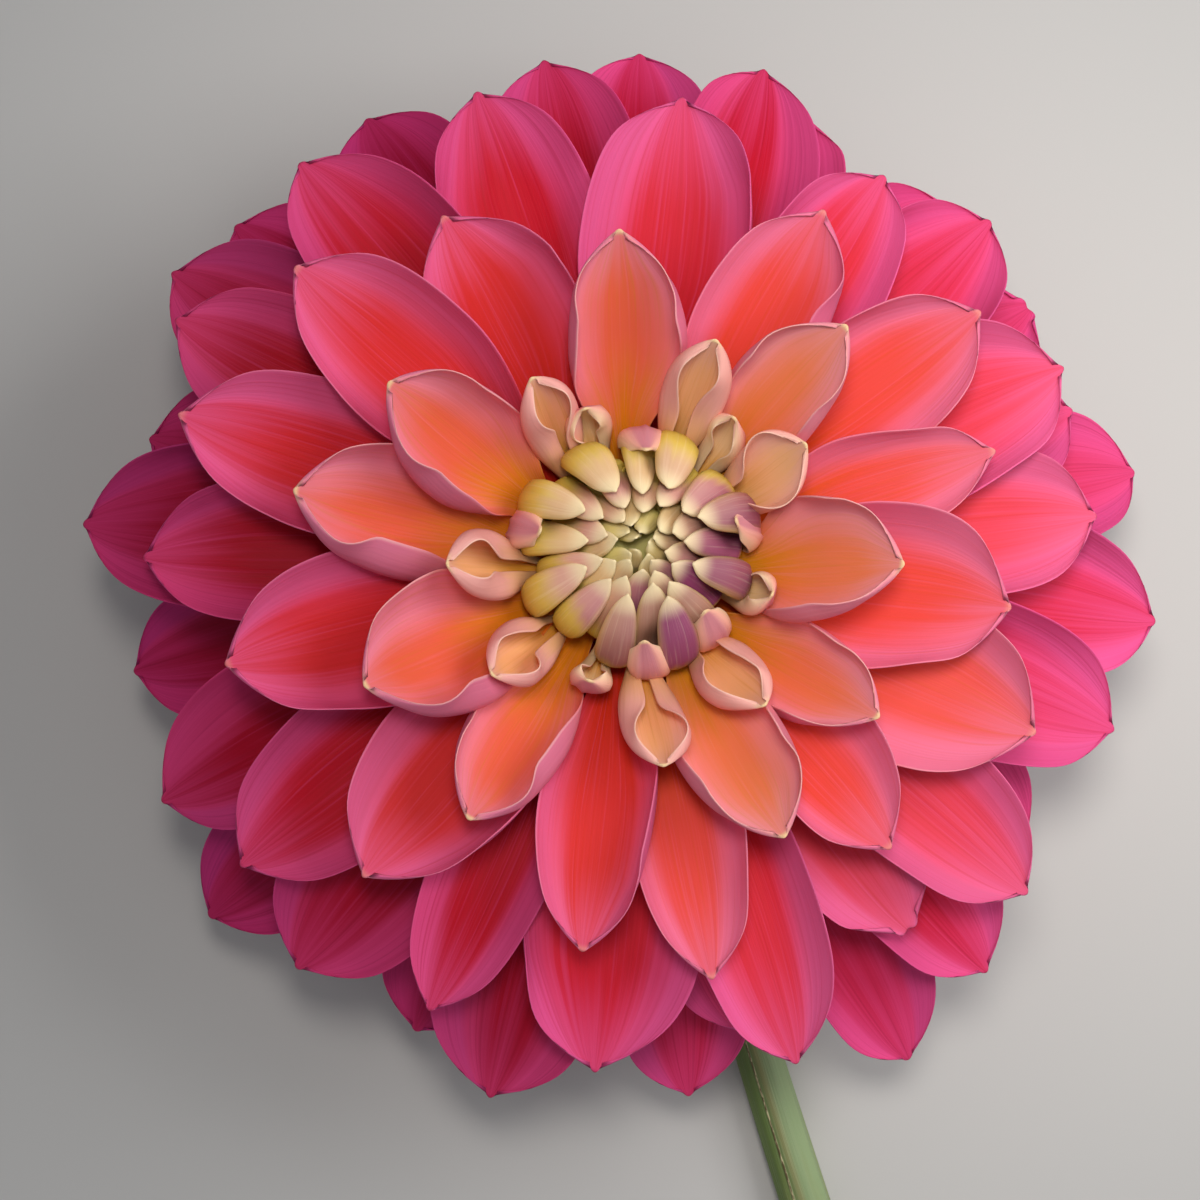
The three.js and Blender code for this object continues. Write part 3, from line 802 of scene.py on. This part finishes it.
# %% Calyx
BRACTS = [
    {
        "count": 8, "first": 15, "reach": 19, "tip": 13.6, "up": 20.9, "rise": -22, "fall": -30,
        "width": 8, "cup": 14, "fold": 12, "firmness": 0.3,
    },
    {
        "count": 5, "first": 18, "reach": 14, "tip": 9.4, "up": 19.8, "rise": -34, "fall": -62,
        "width": 4.6, "cup": 10, "fold": 8, "firmness": 1,
    },
]
BRACT_ROOT = 4.6
bract_blank = petal_blank(*BLANK_CELLS["bract"])
bracts = []
for number, whorl in enumerate(BRACTS):
    for k in range(whorl["count"]):
        bract = {
            **own_shape(SEEDS["bract"] + SEEDS["whorl"] * number + k, 1), **whorl,
            "bearing": whorl["first"] + 360 * k / whorl["count"],
            "root": (BRACT_ROOT, whorl["up"]), "roll": 0,
            "wave": 0.3, "grooves": [-0.12, 0.15, -0.12], "curl": (0, 0),
        }
        bracts.append(laid(bract_blank, bract, middle_knots(bract), whorl["firmness"]))
calyx_piece = joined([turned("calyx", 1), *bracts], "flower_calyx")

# All is laid, so the blanks can go.
for spare in (fine_blank, small_blank, bract_blank):
    bpy.data.objects.remove(spare)
print("bracts:", len(bracts))

# %% [markdown]
# ## The line of the stem
# The stem leaves the bloom downwards, turns and lies along the surface. A curve with a bevel would do, but
# its ring spacing and the way it turns are Blender's own. A smooth line through the solid's knots, with a
# direction aside and one over it, lets every ring sit where the solid's is.

# %% Stem line
STEM = {
    "sides": 10, "neck": 2.5, "foot": 3.6, "full_at": 0.9, "flare": 0.9, "flare_share": 0.012,
    "cut_slant": 2.6, "pressed": 0.06, "ribs": 11, "rib_depth": 0.05, "neck_crowding": 1.5,
}
STEM_LINE = [
    (-0.6, -0.6, 18.2), (-0.9, -1.2, 14.6), (-1, -3.9, 9.6), (-0.8, -9.4, 5.2), (-0.3, -18, 2.6),
    (0, -32, 0), (0, -60, 0), (0.8, -95, 0), (3, -135, 0), (6, -170, 0), (9.5, -205, 0),
]
LINE_STEPS, TANGENT_STEP = 60, 0.2


def spline(knots, count):
    """A smooth line through knots, with even steps between them at the square root of their distance."""
    knots = np.array(knots, float)
    knots = np.vstack([2 * knots[0] - knots[1], knots, 2 * knots[-1] - knots[-2]])
    line = []
    for p0, p1, p2, p3 in zip(knots, knots[1:], knots[2:], knots[3:]):
        t0, t1, t2 = (np.linalg.norm(b - a) ** 0.5 for a, b in ((p0, p1), (p1, p2), (p2, p3)))
        start = t1 * ((p1 - p0) / t0 - (p2 - p0) / (t0 + t1) + (p2 - p1) / t1)
        end = t1 * ((p2 - p1) / t1 - (p3 - p1) / (t1 + t2) + (p3 - p2) / t2)
        t = np.linspace(0, 1, count, endpoint=False)[:, None]
        line.append(
            (2 * t**3 - 3 * t**2 + 1) * p1 + (t**3 - 2 * t**2 + t) * start
            + (-2 * t**3 + 3 * t**2) * p2 + (t**3 - t**2) * end
        )
    return np.vstack([*line, knots[-2]])


def stem_frames(shares):
    """The middle of the stem and the directions along, aside and over it, at shares of its length."""
    line = spline([(BLOOM["x"] + x, BLOOM["y"] + y, z) for x, y, z in STEM_LINE], LINE_STEPS)
    gone = np.concatenate([[0], np.cumsum(np.linalg.norm(np.diff(line, axis=0), axis=1))])

    def point_at(lengths):
        return np.column_stack([np.interp(lengths, gone, line[:, k]) for k in range(3)])

    at = shares * gone[-1]
    ahead = point_at(np.minimum(at + TANGENT_STEP, gone[-1]))
    behind = point_at(np.maximum(at - TANGENT_STEP, 0))
    along = (ahead - behind) / np.linalg.norm(ahead - behind, axis=1)[:, None]
    aside = np.array([1.0, 0, 0]) - along * along[:, :1]
    aside /= np.linalg.norm(aside, axis=1)[:, None]
    return point_at(at), along, aside, np.cross(along, aside)


def stem_radius(share):
    thick = STEM["neck"] + (STEM["foot"] - STEM["neck"]) * smooth(share, 0, STEM["full_at"])
    return thick + STEM["flare"] * np.exp(-share / STEM["flare_share"])


def rest_on_surface(middle, radius):
    """Raises a middle line where the stem would sink below the surface."""
    lowest = radius * math.cos(math.pi / STEM["sides"]) - STEM["pressed"]
    middle[:, 2] = np.maximum(middle[:, 2], lowest)


print("stem radius:", stem_radius(np.array([0.1, 0.5, 1])).round(2), "mm")

# %% [markdown]
# ## The tube of the stem
# A grid is rolled into a tube round that line, ring by ring, with soft ribs and a slanting end. Its two
# long edges meet and are merged.

# %% Stem
RINGS, AROUND = 200, 64

deselect()
bpy.ops.mesh.primitive_grid_add(x_subdivisions=AROUND, y_subdivisions=RINGS, size=2)
stem_piece = bpy.context.object
stem_piece.name = "flower_stem"
x, y, z = places(stem_piece.data).T
around = np.pi * (x + 1)
share = ((y + 1) / 2) ** STEM["neck_crowding"]
middle, along, aside, over = stem_frames(share)
radius = stem_radius(share)
rest_on_surface(middle, radius)
ribbed = radius - STEM["rib_depth"] * (1 - np.cos(STEM["ribs"] * around))
slant = -STEM["cut_slant"] * np.sin(around) * (y > ON_RIM)
rings = (
    middle
    + aside * (ribbed * np.cos(around))[:, None]
    + over * (ribbed * np.sin(around))[:, None]
    + along * slant[:, None]
)
rings[:, 2] = np.maximum(rings[:, 2], LOWEST)
move_to(stem_piece.data, rings * MM)
note(stem_piece.data, "leaf", np.column_stack([np.cos(around), share, np.sin(around)]))
note(stem_piece.data, "life", np.tile([0, 0, 0], (len(rings), 1)))
bpy.ops.object.mode_set(mode="EDIT")
bpy.ops.mesh.select_all(action="SELECT")
bpy.ops.mesh.remove_doubles(threshold=1e-6)
bpy.ops.object.mode_set(mode="OBJECT")
print("stem's tube:", len(stem_piece.data.polygons), "faces")

# %% [markdown]
# ## The cut end
# The cut shows a green skin, a pale ring of fibres and a hollow. The end ring is extruded inwards twice for
# the skin and the fibres, then pulled along the stem for the hollow's wall, and closed at its bottom. The
# open ring inside the bloom is closed too.

# %% Cut end
PITH = {"radius": 1.7, "depth": 14}
FIBRE_RADIUS = 0.86
NECK_REACH = 5
SMOOTH_UNDER = 50


def select_ring(piece, spot, reach):
    """Selects the open rim of a tube that lies within reach of a point."""
    bpy.ops.object.mode_set(mode="EDIT")
    bpy.ops.mesh.select_mode(type="EDGE")
    bpy.ops.mesh.select_all(action="DESELECT")
    bpy.ops.mesh.select_non_manifold(extend=False)
    bpy.ops.object.mode_set(mode="OBJECT")
    close = np.linalg.norm(places(piece.data) - np.array(spot), axis=1) < reach
    for edge in piece.data.edges:
        edge.select = edge.select and bool(close[edge.vertices[0]] and close[edge.vertices[1]])
    for vertex in piece.data.vertices:
        vertex.select = vertex.select and bool(close[vertex.index])
    bpy.ops.object.mode_set(mode="EDIT")


def inset_ring(centre, factor):
    bpy.ops.mesh.extrude_edges_move()
    bpy.ops.transform.resize(value=(factor,) * 3, center_override=centre)


end_middle, end_along, _, _ = stem_frames(np.array([1.0]))
end_radius = float(stem_radius(np.array([1.0]))[0])
rest_on_surface(end_middle, end_radius)
foot = tuple(end_middle[0] * MM)
deselect()
stem_piece.select_set(True)
bpy.context.view_layer.objects.active = stem_piece
select_ring(stem_piece, foot, 2 * end_radius * MM)
inset_ring(foot, FIBRE_RADIUS)
inset_ring(foot, PITH["radius"] / (end_radius * FIBRE_RADIUS))
hollow = tuple(-PITH["depth"] * MM * end_along[0])
bpy.ops.mesh.extrude_edges_move(TRANSFORM_OT_translate={"value": hollow})
bpy.ops.mesh.edge_face_add()
select_ring(stem_piece, tuple(stem_frames(np.array([0.0]))[0][0] * MM), NECK_REACH * MM)
bpy.ops.mesh.edge_face_add()
bpy.ops.mesh.select_all(action="SELECT")
bpy.ops.mesh.normals_make_consistent(inside=False)
bpy.ops.object.mode_set(mode="OBJECT")
bpy.ops.object.shade_smooth_by_angle(angle=math.radians(SMOOTH_UNDER))
print("stem:", len(stem_piece.data.polygons), "faces")

# %% [markdown]
# ## Writing materials as sums
# A material is a small program. A wrapped socket lets it be written as one: an expression on sockets adds
# the Math nodes it needs. Colours go through Mix nodes, because a Math node would turn them grey.

# %% Sockets that reckon


class Wire:
    """A socket that grows Math nodes when it is reckoned with."""

    def __init__(self, finish, socket):
        self.finish, self.socket = finish, socket

    def math(self, operation, *values):
        return self.finish.node("ShaderNodeMath", {"operation": operation}, dict(enumerate(values)))

    def __add__(self, other):
        return self.math("ADD", self, other)

    def __sub__(self, other):
        return self.math("SUBTRACT", self, other)

    def __rsub__(self, other):
        return self.math("SUBTRACT", other, self)

    def __mul__(self, other):
        return self.math("MULTIPLY", self, other)

    def __abs__(self):
        return self.math("ABSOLUTE", self)

    __radd__, __rmul__ = __add__, __mul__

    def fade(self, low, high):
        """0 below low, 1 above high and a smooth step between."""
        return self.finish.node(
            "ShaderNodeMapRange",
            {"interpolation_type": "SMOOTHSTEP"},
            {"Value": self, "From Min": low, "From Max": high},
        )

    def hump(self, centre, width):
        """1 at centre, falling away on both sides within width."""
        return 1 - abs(self - centre).fade(0, width)


# %% [markdown]
# ## A finish
# A finish is one material with its shader ready and short ways to add nodes to it. What is the same all
# over a surface is set on the shader's own sockets, when the finish is made.

# %% Finish


class Finish:
    def __init__(self, name, **constants):
        self.material = bpy.data.materials.new(name)
        self.material.use_nodes = True
        self.tree = self.material.node_tree
        self.shader = self.tree.nodes["Principled BSDF"]
        for socket, value in constants.items():
            self.shader.inputs[socket.replace("_", " ")].default_value = value

    def node(self, kind, settings=None, inputs=None, output=0):
        made = self.tree.nodes.new(kind)
        for name, value in (settings or {}).items():
            if name == "stops":
                set_stops(made.color_ramp.elements, value)
            else:
                setattr(made, name, value)
        for name, value in (inputs or {}).items():
            self.feed(made.inputs[name], value)
        return Wire(self, made.outputs[output])

    def feed(self, socket, value):
        if isinstance(value, Wire):
            self.tree.links.new(value.socket, socket)
        elif isinstance(value, str):
            socket.default_value = paint(value)
        else:
            socket.default_value = value

    def give(self, name, value):
        self.feed(self.shader.inputs[name], value)

    def split(self, vector):
        first = self.node("ShaderNodeSeparateXYZ", inputs={0: vector})
        return [Wire(self, socket) for socket in first.socket.node.outputs]

    def noted(self, name):
        """The three numbers of a vector that was noted on the mesh."""
        return self.split(self.node("ShaderNodeAttribute", {"attribute_name": name}, output="Vector"))

    def place(self):
        return self.node("ShaderNodeTexCoord", output="Object")

    def vector(self, x, y, z):
        return self.node("ShaderNodeCombineXYZ", inputs={0: x, 1: y, 2: z})

    def noise(self, vector, scale=1.0, detail=2.0, roughness=0.5):
        inputs = {"Vector": vector, "Scale": scale, "Detail": detail, "Roughness": roughness}
        return self.node("ShaderNodeTexNoise", inputs=inputs, output="Fac")

    def mix(self, factor, a, b):
        return self.node("ShaderNodeMix", {"data_type": "RGBA"}, {0: factor, 6: a, 7: b}, output=2)

    def ramp(self, factor, stops):
        return self.node("ShaderNodeValToRGB", {"stops": stops}, {0: factor})

    def bump(self, height, strength, distance):
        inputs = {"Height": height, "Strength": strength, "Distance": distance}
        self.give("Normal", self.node("ShaderNodeBump", inputs=inputs))


def paint(code):
    """A colour as it is given, turned into the linear numbers that shaders use."""
    values = [int(code[i : i + 2], 16) / 255 for i in (1, 3, 5)]
    return (*(v / 12.92 if v <= 0.04045 else ((v + 0.055) / 1.055) ** 2.4 for v in values), 1)


def set_stops(elements, stops):
    """Fills a scale of colours. A stop is a position and a colour."""
    while len(elements) < len(stops):
        elements.new(0.5)
    for element, (position, colour) in zip(elements, stops):
        element.position = position
        element.color = paint(colour)


print("coral in linear numbers:", [round(v, 3) for v in paint("#e44038")])

# %% [markdown]
# ## The petals' colours
# A petal's colour runs from its throat, over its face, to its margins. The throat is deep: crimson in an
# old petal, orange in a ripe one and golden brown in a young one. The face goes from crimson to cream with
# youth. The margins are pink, their own paler colour brightened as painted light and sheen. The back is a
# dull mauve, and the thin rim is pale. Each of these is a scale of colour over a petal's youth, so that the
# rows shade into each other.

# %% Petal colours
THROAT = [
    (0.1, "#780420"), (0.4, "#9c0418"), (0.54, "#bc1016"), (0.7, "#dc3c10"), (0.88, "#d88410"),
    (1.0, "#d89c30"),
]
FACE = [
    (0.1, "#b40838"), (0.24, "#be0a2e"), (0.4, "#ca0c2a"), (0.54, "#d62036"), (0.7, "#e44038"),
    (0.88, "#ea6848"), (0.95, "#f8a868"), (1.0, "#fcd8a4"),
]
# Margin colours: the petal's own paler pink, brightened as painted light and sheen.
MARGIN_WITH_SHEEN = [
    (0.1, "#da3c82"), (0.24, "#e24888"), (0.4, "#e85490"), (0.54, "#ea5e9c"), (0.7, "#ee749c"),
    (0.88, "#ee8a9c"), (1.0, "#fac8b4"),
]
BACK = [(0.1, "#b43480"), (0.5, "#cc4c80"), (0.88, "#e07a96"), (1.0, "#f0b4a0")]
RIM = [(0.5, "#f08cac"), (0.75, "#f4b0b0"), (1.0, "#fae0c4")]
GOLDEN_ROOT, CREAM, MAUVE, POINT = "#d0a050", "#f4d8ac", "#b4628c", "#f0d89c"

# %% [markdown]
# ## The petals' finish
# Fine streaks and veins run along every blade, and slow clouds make the bands of colour wander. They are
# noises on the blank's own coordinates, drawn out along the petal and shifted by its draw, so that no two
# petals share them. The tone carries painted light and shade: a high tone, on the side towards the light,
# takes a petal's colours towards those of youth, and a low one, on the far side, paints it deep as painted
# shade. Image textures could paint all this too, but they would need an unwrapped map for every petal.

# %% Petal finish


def petal_finish(name):
    finish = Finish(name, Specular_IOR_Level=0.1)
    across, along, side = finish.noted("leaf")
    youth, chance, tone_and_light = finish.noted("life")
    edge = abs(across)
    streaks = finish.noise(finish.vector(across * 6, along * 0.8, chance * 90), detail=3, roughness=0.55)
    veins = finish.noise(finish.vector(across * 30, along * 1.6, chance * 70), detail=2, roughness=0.5)
    cloud = finish.noise(finish.vector(across * 1.3, along * 2.2, chance * 80), detail=1)
    # Painted shade: deep is high on the side away from the light, with a little of each petal's own draw, and
    # with the tone it moves the colour scales, paler on the lit side and deeper on the far side.
    deep_and_painted_shade = (1 - tone_and_light).fade(0.35, 0.9) * (1 - youth.fade(0.6, 0.85))
    shade = youth + (tone_and_light - 0.5) * 0.3 * (1 - youth * youth) - deep_and_painted_shade * 0.12

    # The throat gives way to the face along the petal.
    run = along + (streaks - 0.5) * 0.3 + (cloud - 0.5) * 0.2
    throat, margin_with_sheen = finish.ramp(shade, THROAT), finish.ramp(shade, MARGIN_WITH_SHEEN)
    # Painted shade: on the side away from the light the face is mixed towards the throat's deep colour.
    face = finish.mix(deep_and_painted_shade * 0.5, finish.ramp(shade, FACE), throat)
    colour = finish.mix(run.fade(0.18, 0.62), throat, face)

    # The margins' pink, their own paler colour brightened as painted light and sheen, reaches further in near
    # the tip, in young petals and in pale ones.
    wander = edge + (streaks - 0.5) * 0.22 + (cloud - 0.5) * 0.24
    wander = wander + (along - 0.6) * 0.3 + youth.fade(0.6, 0.9) * 0.2
    margins = wander.fade(0.3, 0.86) * along.fade(0.15, 0.6)
    colour = finish.mix(margins * (0.95 - deep_and_painted_shade * 0.3), colour, margin_with_sheen)
    colour = finish.mix(run.fade(0.74, 1.06) * (0.4 + youth * 0.25), colour, margin_with_sheen)
    # Painted light: petals on the lit side, with a high tone, get more of the margins' pink.
    colour = finish.mix(run.fade(0.3, 0.9) * tone_and_light.fade(0.5, 1) * (0.9 - youth) * 0.7, colour, margin_with_sheen)
    colour = finish.mix(veins.fade(0.5, 0.8) * 0.22, colour, margin_with_sheen)
    colour = finish.mix((1 - veins).fade(0.5, 0.8) * 0.35, colour, throat)

    # A light line along each crease, a painted highlight on its ridge, fades towards the claw, and on one
    # side the blade beyond it is dull.
    shoulder = edge.fade(0.46, 0.6) * (across * (chance - 0.5)).fade(0, 0.05)
    line = edge.hump(0.5, 0.12) * along.fade(0.4, 0.95)
    colour = finish.mix(shoulder * along.fade(0.3, 0.7) * 0.4, colour, finish.ramp(shade, BACK))
    colour = finish.mix(line * (youth - 0.2) * 0.4, colour, margin_with_sheen)

    # A young petal's back is golden at its root. A half-open one has cream margins and a mauve keel too.
    half_opened = youth.fade(0.98, 0.995)
    keel = (1 - edge.fade(0.2, 0.6)) * run.fade(0.45, 0.75)
    back = finish.mix(veins.fade(0.4, 0.8) * 0.25, finish.ramp(shade, BACK), margin_with_sheen)
    back = finish.mix((1 - run.fade(0.3, 0.7)) * youth.fade(0.8, 1) * 0.7, back, GOLDEN_ROOT)
    back = finish.mix(half_opened * edge.fade(0.5, 0.95) * 0.7, back, CREAM)
    back = finish.mix(half_opened * keel * 0.6, back, MAUVE)
    colour = finish.mix(side.fade(-0.6, -0.1), back, colour)

    rim = edge.fade(0.97, 1.0) * (along + (streaks - 0.5)).fade(0.3, 0.9)
    colour = finish.mix(rim * youth.fade(0.45, 0.95) * 0.45, colour, finish.ramp(shade, RIM))
    point = along.fade(0.982, 1) * (1 - edge.fade(0.3, 1))
    colour = finish.mix(point * youth.fade(0.6, 0.9) * 0.7, colour, POINT)
    finish.give("Base Color", colour)
    finish.give("Roughness", 0.46 + veins * 0.14)
    finish.bump(veins * 0.5 + streaks, 0.25, 0.0004)
    return finish.material


# %% [markdown]
# ## The buds' finish
# A closed bud is golden at its root and cream towards its tip, with a mauve flush on its back, pale rims
# and a pale point. The youngest are yellowish green. The buds of one side are painted darker and more
# purple, with less of that green, as painted shade. That side is found by Object coordinates, because it is
# a matter of place and not of each bud.

# %% Bud finish
BUD_GOLD = [(0.3, "#7c6414"), (0.45, "#b89c30"), (0.7, "#dcc058"), (1.0, "#f0d898")]


def bud_finish(name):
    finish = Finish(name, Specular_IOR_Level=0.22)
    across, along, _ = finish.noted("leaf")
    young, chance, _ = finish.noted("life")
    edge = abs(across)
    streaks = finish.noise(finish.vector(across * 4, along * 1.4, chance * 60), detail=3)
    veins = finish.noise(finish.vector(across * 18, along * 2, chance * 40), detail=2)
    east, north, _ = finish.split(finish.place())
    # Painted shade: on this side the mauve is darker, the flush stronger and the young green weaker.
    painted_shade_side = (east * 0.5 - (north - BLOOM["y"] * MM) * 0.86).fade(-0.004, 0.005)

    run = along + (streaks - 0.5) * 0.15
    colour = finish.ramp(run, BUD_GOLD)
    mauve = finish.mix(painted_shade_side, "#c47490", "#8c4068")
    keel = 1 - (edge + (streaks - 0.5) * 0.3).fade(0.35, 0.95)
    flush = (run + painted_shade_side * 0.3).fade(0.7, 0.88) * keel
    colour = finish.mix(flush * (0.24 + chance * 0.5 + painted_shade_side * 0.4), colour, mauve)
    colour = finish.mix(young.fade(0.35, 0.7) * (1 - painted_shade_side * 0.7) * 0.7, colour, "#dcd47c")
    colour = finish.mix(veins.fade(0.5, 0.8) * 0.15, colour, "#fbeccc")
    rim = edge.fade(0.86, 1) * along.fade(0.5, 0.8)
    colour = finish.mix(rim * 0.55, colour, "#f6dfae")
    colour = finish.mix(along.fade(0.88, 1) * 0.8, colour, "#f8e8b8")
    finish.give("Base Color", colour)
    finish.give("Roughness", 0.45 + veins * 0.12)
    finish.bump(veins, 0.2, 0.0003)
    return finish.material


# %% [markdown]
# ## The green parts
# The firm bracts are leaf green, the thin ones straw green, and both have lighter ribs. The stem is sage
# green with fine fibres. Its side away from the window is painted dark as painted shade and its side towards
# it light sage as a painted highlight, and a brownish strip and a thin corky scar run along it.

# %% Green finishes


def bract_finish(name):
    finish = Finish(name, Specular_IOR_Level=0.4)
    across, along, _ = finish.noted("leaf")
    firmness, chance, _ = finish.noted("life")
    veins = finish.noise(finish.vector(across * 20, along * 3, chance * 50), detail=3)
    thin = finish.mix(along.fade(0.1, 0.9), "#a8ad6a", "#b9a36b")
    firm = finish.mix(along.fade(0.3, 1), "#7f9a4a", "#5f7d3c")
    colour = finish.mix(firmness.fade(0.4, 0.9), thin, firm)
    colour = finish.mix(veins.fade(0.45, 0.75) * 0.4, colour, "#c2cc8c")
    colour = finish.mix(abs(across).fade(0.85, 1) * 0.6, colour, "#a98a5a")
    finish.give("Base Color", colour)
    finish.give("Roughness", 0.5 + veins * 0.15)
    finish.bump(veins, 0.4, 0.0004)
    return finish.material


def stem_finish(name):
    finish = Finish(name, Specular_IOR_Level=0.45)
    _, length, _ = finish.split(finish.place())
    right, share, top = finish.noted("leaf")
    fibres = finish.noise(finish.vector(right * 11, length * 60, top * 11), detail=4, roughness=0.6)
    blotches = finish.noise(finish.vector(right * 1.5, length * 55, top * 1.5), detail=3)
    speckle = finish.noise(finish.vector(right * 14, length * 900, top * 14), detail=2)

    # Painted light and shade: the side away from the window is dark olive, the side towards it light sage.
    colour = finish.mix((right + (fibres - 0.5) * 0.5).fade(-0.7, 0.7), "#5f7438", "#93a878")
    colour = finish.mix(blotches.fade(0.45, 0.75) * 0.4, colour, "#8a8a4e")
    upper = top.fade(-0.1, 0.4)
    strip = (right + (blotches - 0.5) * 0.2).hump(-0.12, 0.26) * upper
    colour = finish.mix(strip * 0.55, colour, "#8d8250")
    scar = (right + (blotches - 0.5) * 0.16).hump(-0.4, 0.07) * upper
    cork = finish.mix(speckle.fade(0.45, 0.6), "#6b4c30", "#e0d0a0")
    colour = finish.mix(scar * 0.9, colour, cork)
    colour = finish.mix(fibres.fade(0.5, 0.8) * 0.35, colour, "#b4c498")
    neck = 1 - share.fade(0, 0.06)
    colour = finish.mix(neck * 0.6, colour, "#7d9350")
    finish.give("Base Color", colour)
    finish.give("Roughness", 0.42 + fibres * 0.2)
    finish.bump(fibres * 0.6 + scar * (0.5 + speckle), 0.45, 0.0004)
    return finish.material


# %% [markdown]
# ## The cut
# The cut shows pale wet fibres round the hollow. Seen closely they are fine cells, so a cell pattern fits
# them better than a noise does.

# %% Cut finish
CELLS_A_METRE = 2600.0


def cut_finish(name):
    finish = Finish(name, Specular_IOR_Level=0.5)
    cells = {"Vector": finish.place(), "Scale": CELLS_A_METRE}
    grain = finish.node("ShaderNodeTexVoronoi", {"feature": "F1"}, cells, output="Distance")
    finish.give("Base Color", finish.mix(grain.fade(0.1, 0.5), "#e6e6bc", "#b8c288"))
    finish.give("Roughness", 0.5 + grain * 0.2)
    finish.bump(grain, 0.4, 0.0003)
    return finish.material


# %% [markdown]
# ## Dress the pieces
# Each piece rides on the flower's one body, stands for its solid and names the finish it takes.

# %% Dress
SLOTS = {
    "outer_petals": "petal_crimson", "middle_petals": "petal_rose", "coral_petals": "petal_coral",
    "inner_petals": "petal_peach", "centre_buds": "bud_cream", "calyx": "bract", "stem": "stem",
}


def dress(piece, node, *materials):
    piece.data.materials.clear()
    for material in materials:
        piece.data.materials.append(material)
    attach(piece, "root")
    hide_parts(node)


for node, piece in petal_pieces.items():
    dress(piece, node, petal_finish(SLOTS[node]))
dress(bud_piece, "centre_buds", bud_finish("bud_cream"))
dress(calyx_piece, "calyx", bract_finish("bract"))
dress(stem_piece, "stem", stem_finish("stem"), cut_finish("stem_cut"))
print("finishes:", sorted(SLOTS.values()))

# %% [markdown]
# ## Faces of the cut
# The stem has a second finish for its cut. Those faces lie near the end ring and face along the stem, or
# they are in the hollow.

# %% Cut faces
CUT = {"facing": 0.5, "near": 4, "slack": 1.2}

end_point, end_way = np.array(foot), end_along[0]
for polygon in stem_piece.data.polygons:
    offset = np.array(polygon.center) - end_point
    along_stem = float(offset @ end_way)
    off_axis = float(np.linalg.norm(offset - along_stem * end_way))
    facing = abs(float(np.array(polygon.normal) @ end_way)) > CUT["facing"]
    near_end = abs(along_stem) < CUT["near"] * MM
    in_reach = along_stem > -CUT["slack"] * PITH["depth"] * MM
    in_hollow = off_axis < CUT["slack"] * PITH["radius"] * MM and in_reach
    polygon.material_index = int((facing and near_end) or in_hollow)
print("faces of the cut:", sum(polygon.material_index for polygon in stem_piece.data.polygons))

# %% [markdown]
# ## The floor
# The floor is plain and pale, so that the petals' shadows show on it. A faint cloud keeps it from looking
# empty. A plane is all it takes, and it is staged, so that it is no part of the flower.

# %% Floor
deselect()
bpy.ops.mesh.primitive_plane_add(size=6, location=(0, 0, 0))
floor = bpy.context.object
floor.name = "floor"
floor_finish = Finish("floor", Roughness=0.9, Specular_IOR_Level=0.2)
grain = floor_finish.noise(floor_finish.place(), scale=9.0, detail=3)
floor_finish.give("Base Color", floor_finish.mix(grain, (0.56, 0.55, 0.53, 1), (0.6, 0.59, 0.57, 1)))
floor.data.materials.append(floor_finish.material)
print("floor:", round(floor.dimensions.x), "m")

# %% [markdown]
# ## The light
# The light comes from the right of the picture. A soft window stands close by on that side, and a spot from
# above falls on the bloom's right half and fades towards the left, which stays in shade. A wide weak light
# overhead and a pale sky keep that shade open. The window and the overhead light are area lights, but only
# a spot can fade so softly within one bloom.

# %% Light
LIGHTS = [
    {"name": "window", "bearing": 5, "elevation": 44, "distance": 0.5, "size": 0.3, "watts": 1.1},
    {"name": "overhead", "bearing": 0, "elevation": 72, "distance": 1.2, "size": 1.0, "watts": 1.2},
]
SPOT = {
    "from": (0.06, 0.1, 0.6), "aim": (0.05, 0.0, 0.03), "cone": 24, "blend": 1, "radius": 0.08,
    "watts": 9.6, "colour": (1, 0.95, 0.9),
}
SKY = {"Color": (0.92, 0.95, 1, 1), "Strength": 0.3}
LIT_UP = 30.0


def area_light(light):
    bearing, elevation = math.radians(light["bearing"]), math.radians(light["elevation"])
    level = math.cos(elevation)
    way = np.array([level * math.cos(bearing), level * math.sin(bearing), math.sin(elevation)])
    place = np.array([BLOOM["x"], BLOOM["y"], LIT_UP]) * MM + light["distance"] * way
    tilt = (0, math.pi / 2 - elevation, bearing)
    deselect()
    bpy.ops.object.light_add(type="AREA", location=tuple(place), rotation=tilt)
    lamp = bpy.context.object
    lamp.name = light["name"]
    lamp.data.size = light["size"]
    lamp.data.energy = light["watts"]


for light in LIGHTS:
    area_light(light)

deselect()
base = Vector((BLOOM["x"] * MM, BLOOM["y"] * MM, 0))
bpy.ops.object.light_add(type="SPOT", location=base + Vector(SPOT["from"]))
spot = bpy.context.object
spot.rotation_euler = (Vector(SPOT["aim"]) - Vector(SPOT["from"])).to_track_quat("-Z", "Y").to_euler()
spot.data.spot_size = math.radians(SPOT["cone"])
spot.data.spot_blend = SPOT["blend"]
spot.data.shadow_soft_size = SPOT["radius"]
spot.data.energy = SPOT["watts"]
spot.data.color = SPOT["colour"]

world = bpy.data.worlds.new("studio")
bpy.context.scene.world = world
world.use_nodes = True
for socket, value in SKY.items():
    world.node_tree.nodes["Background"].inputs[socket].default_value = value
bpy.context.scene.view_settings.view_transform = "Standard"
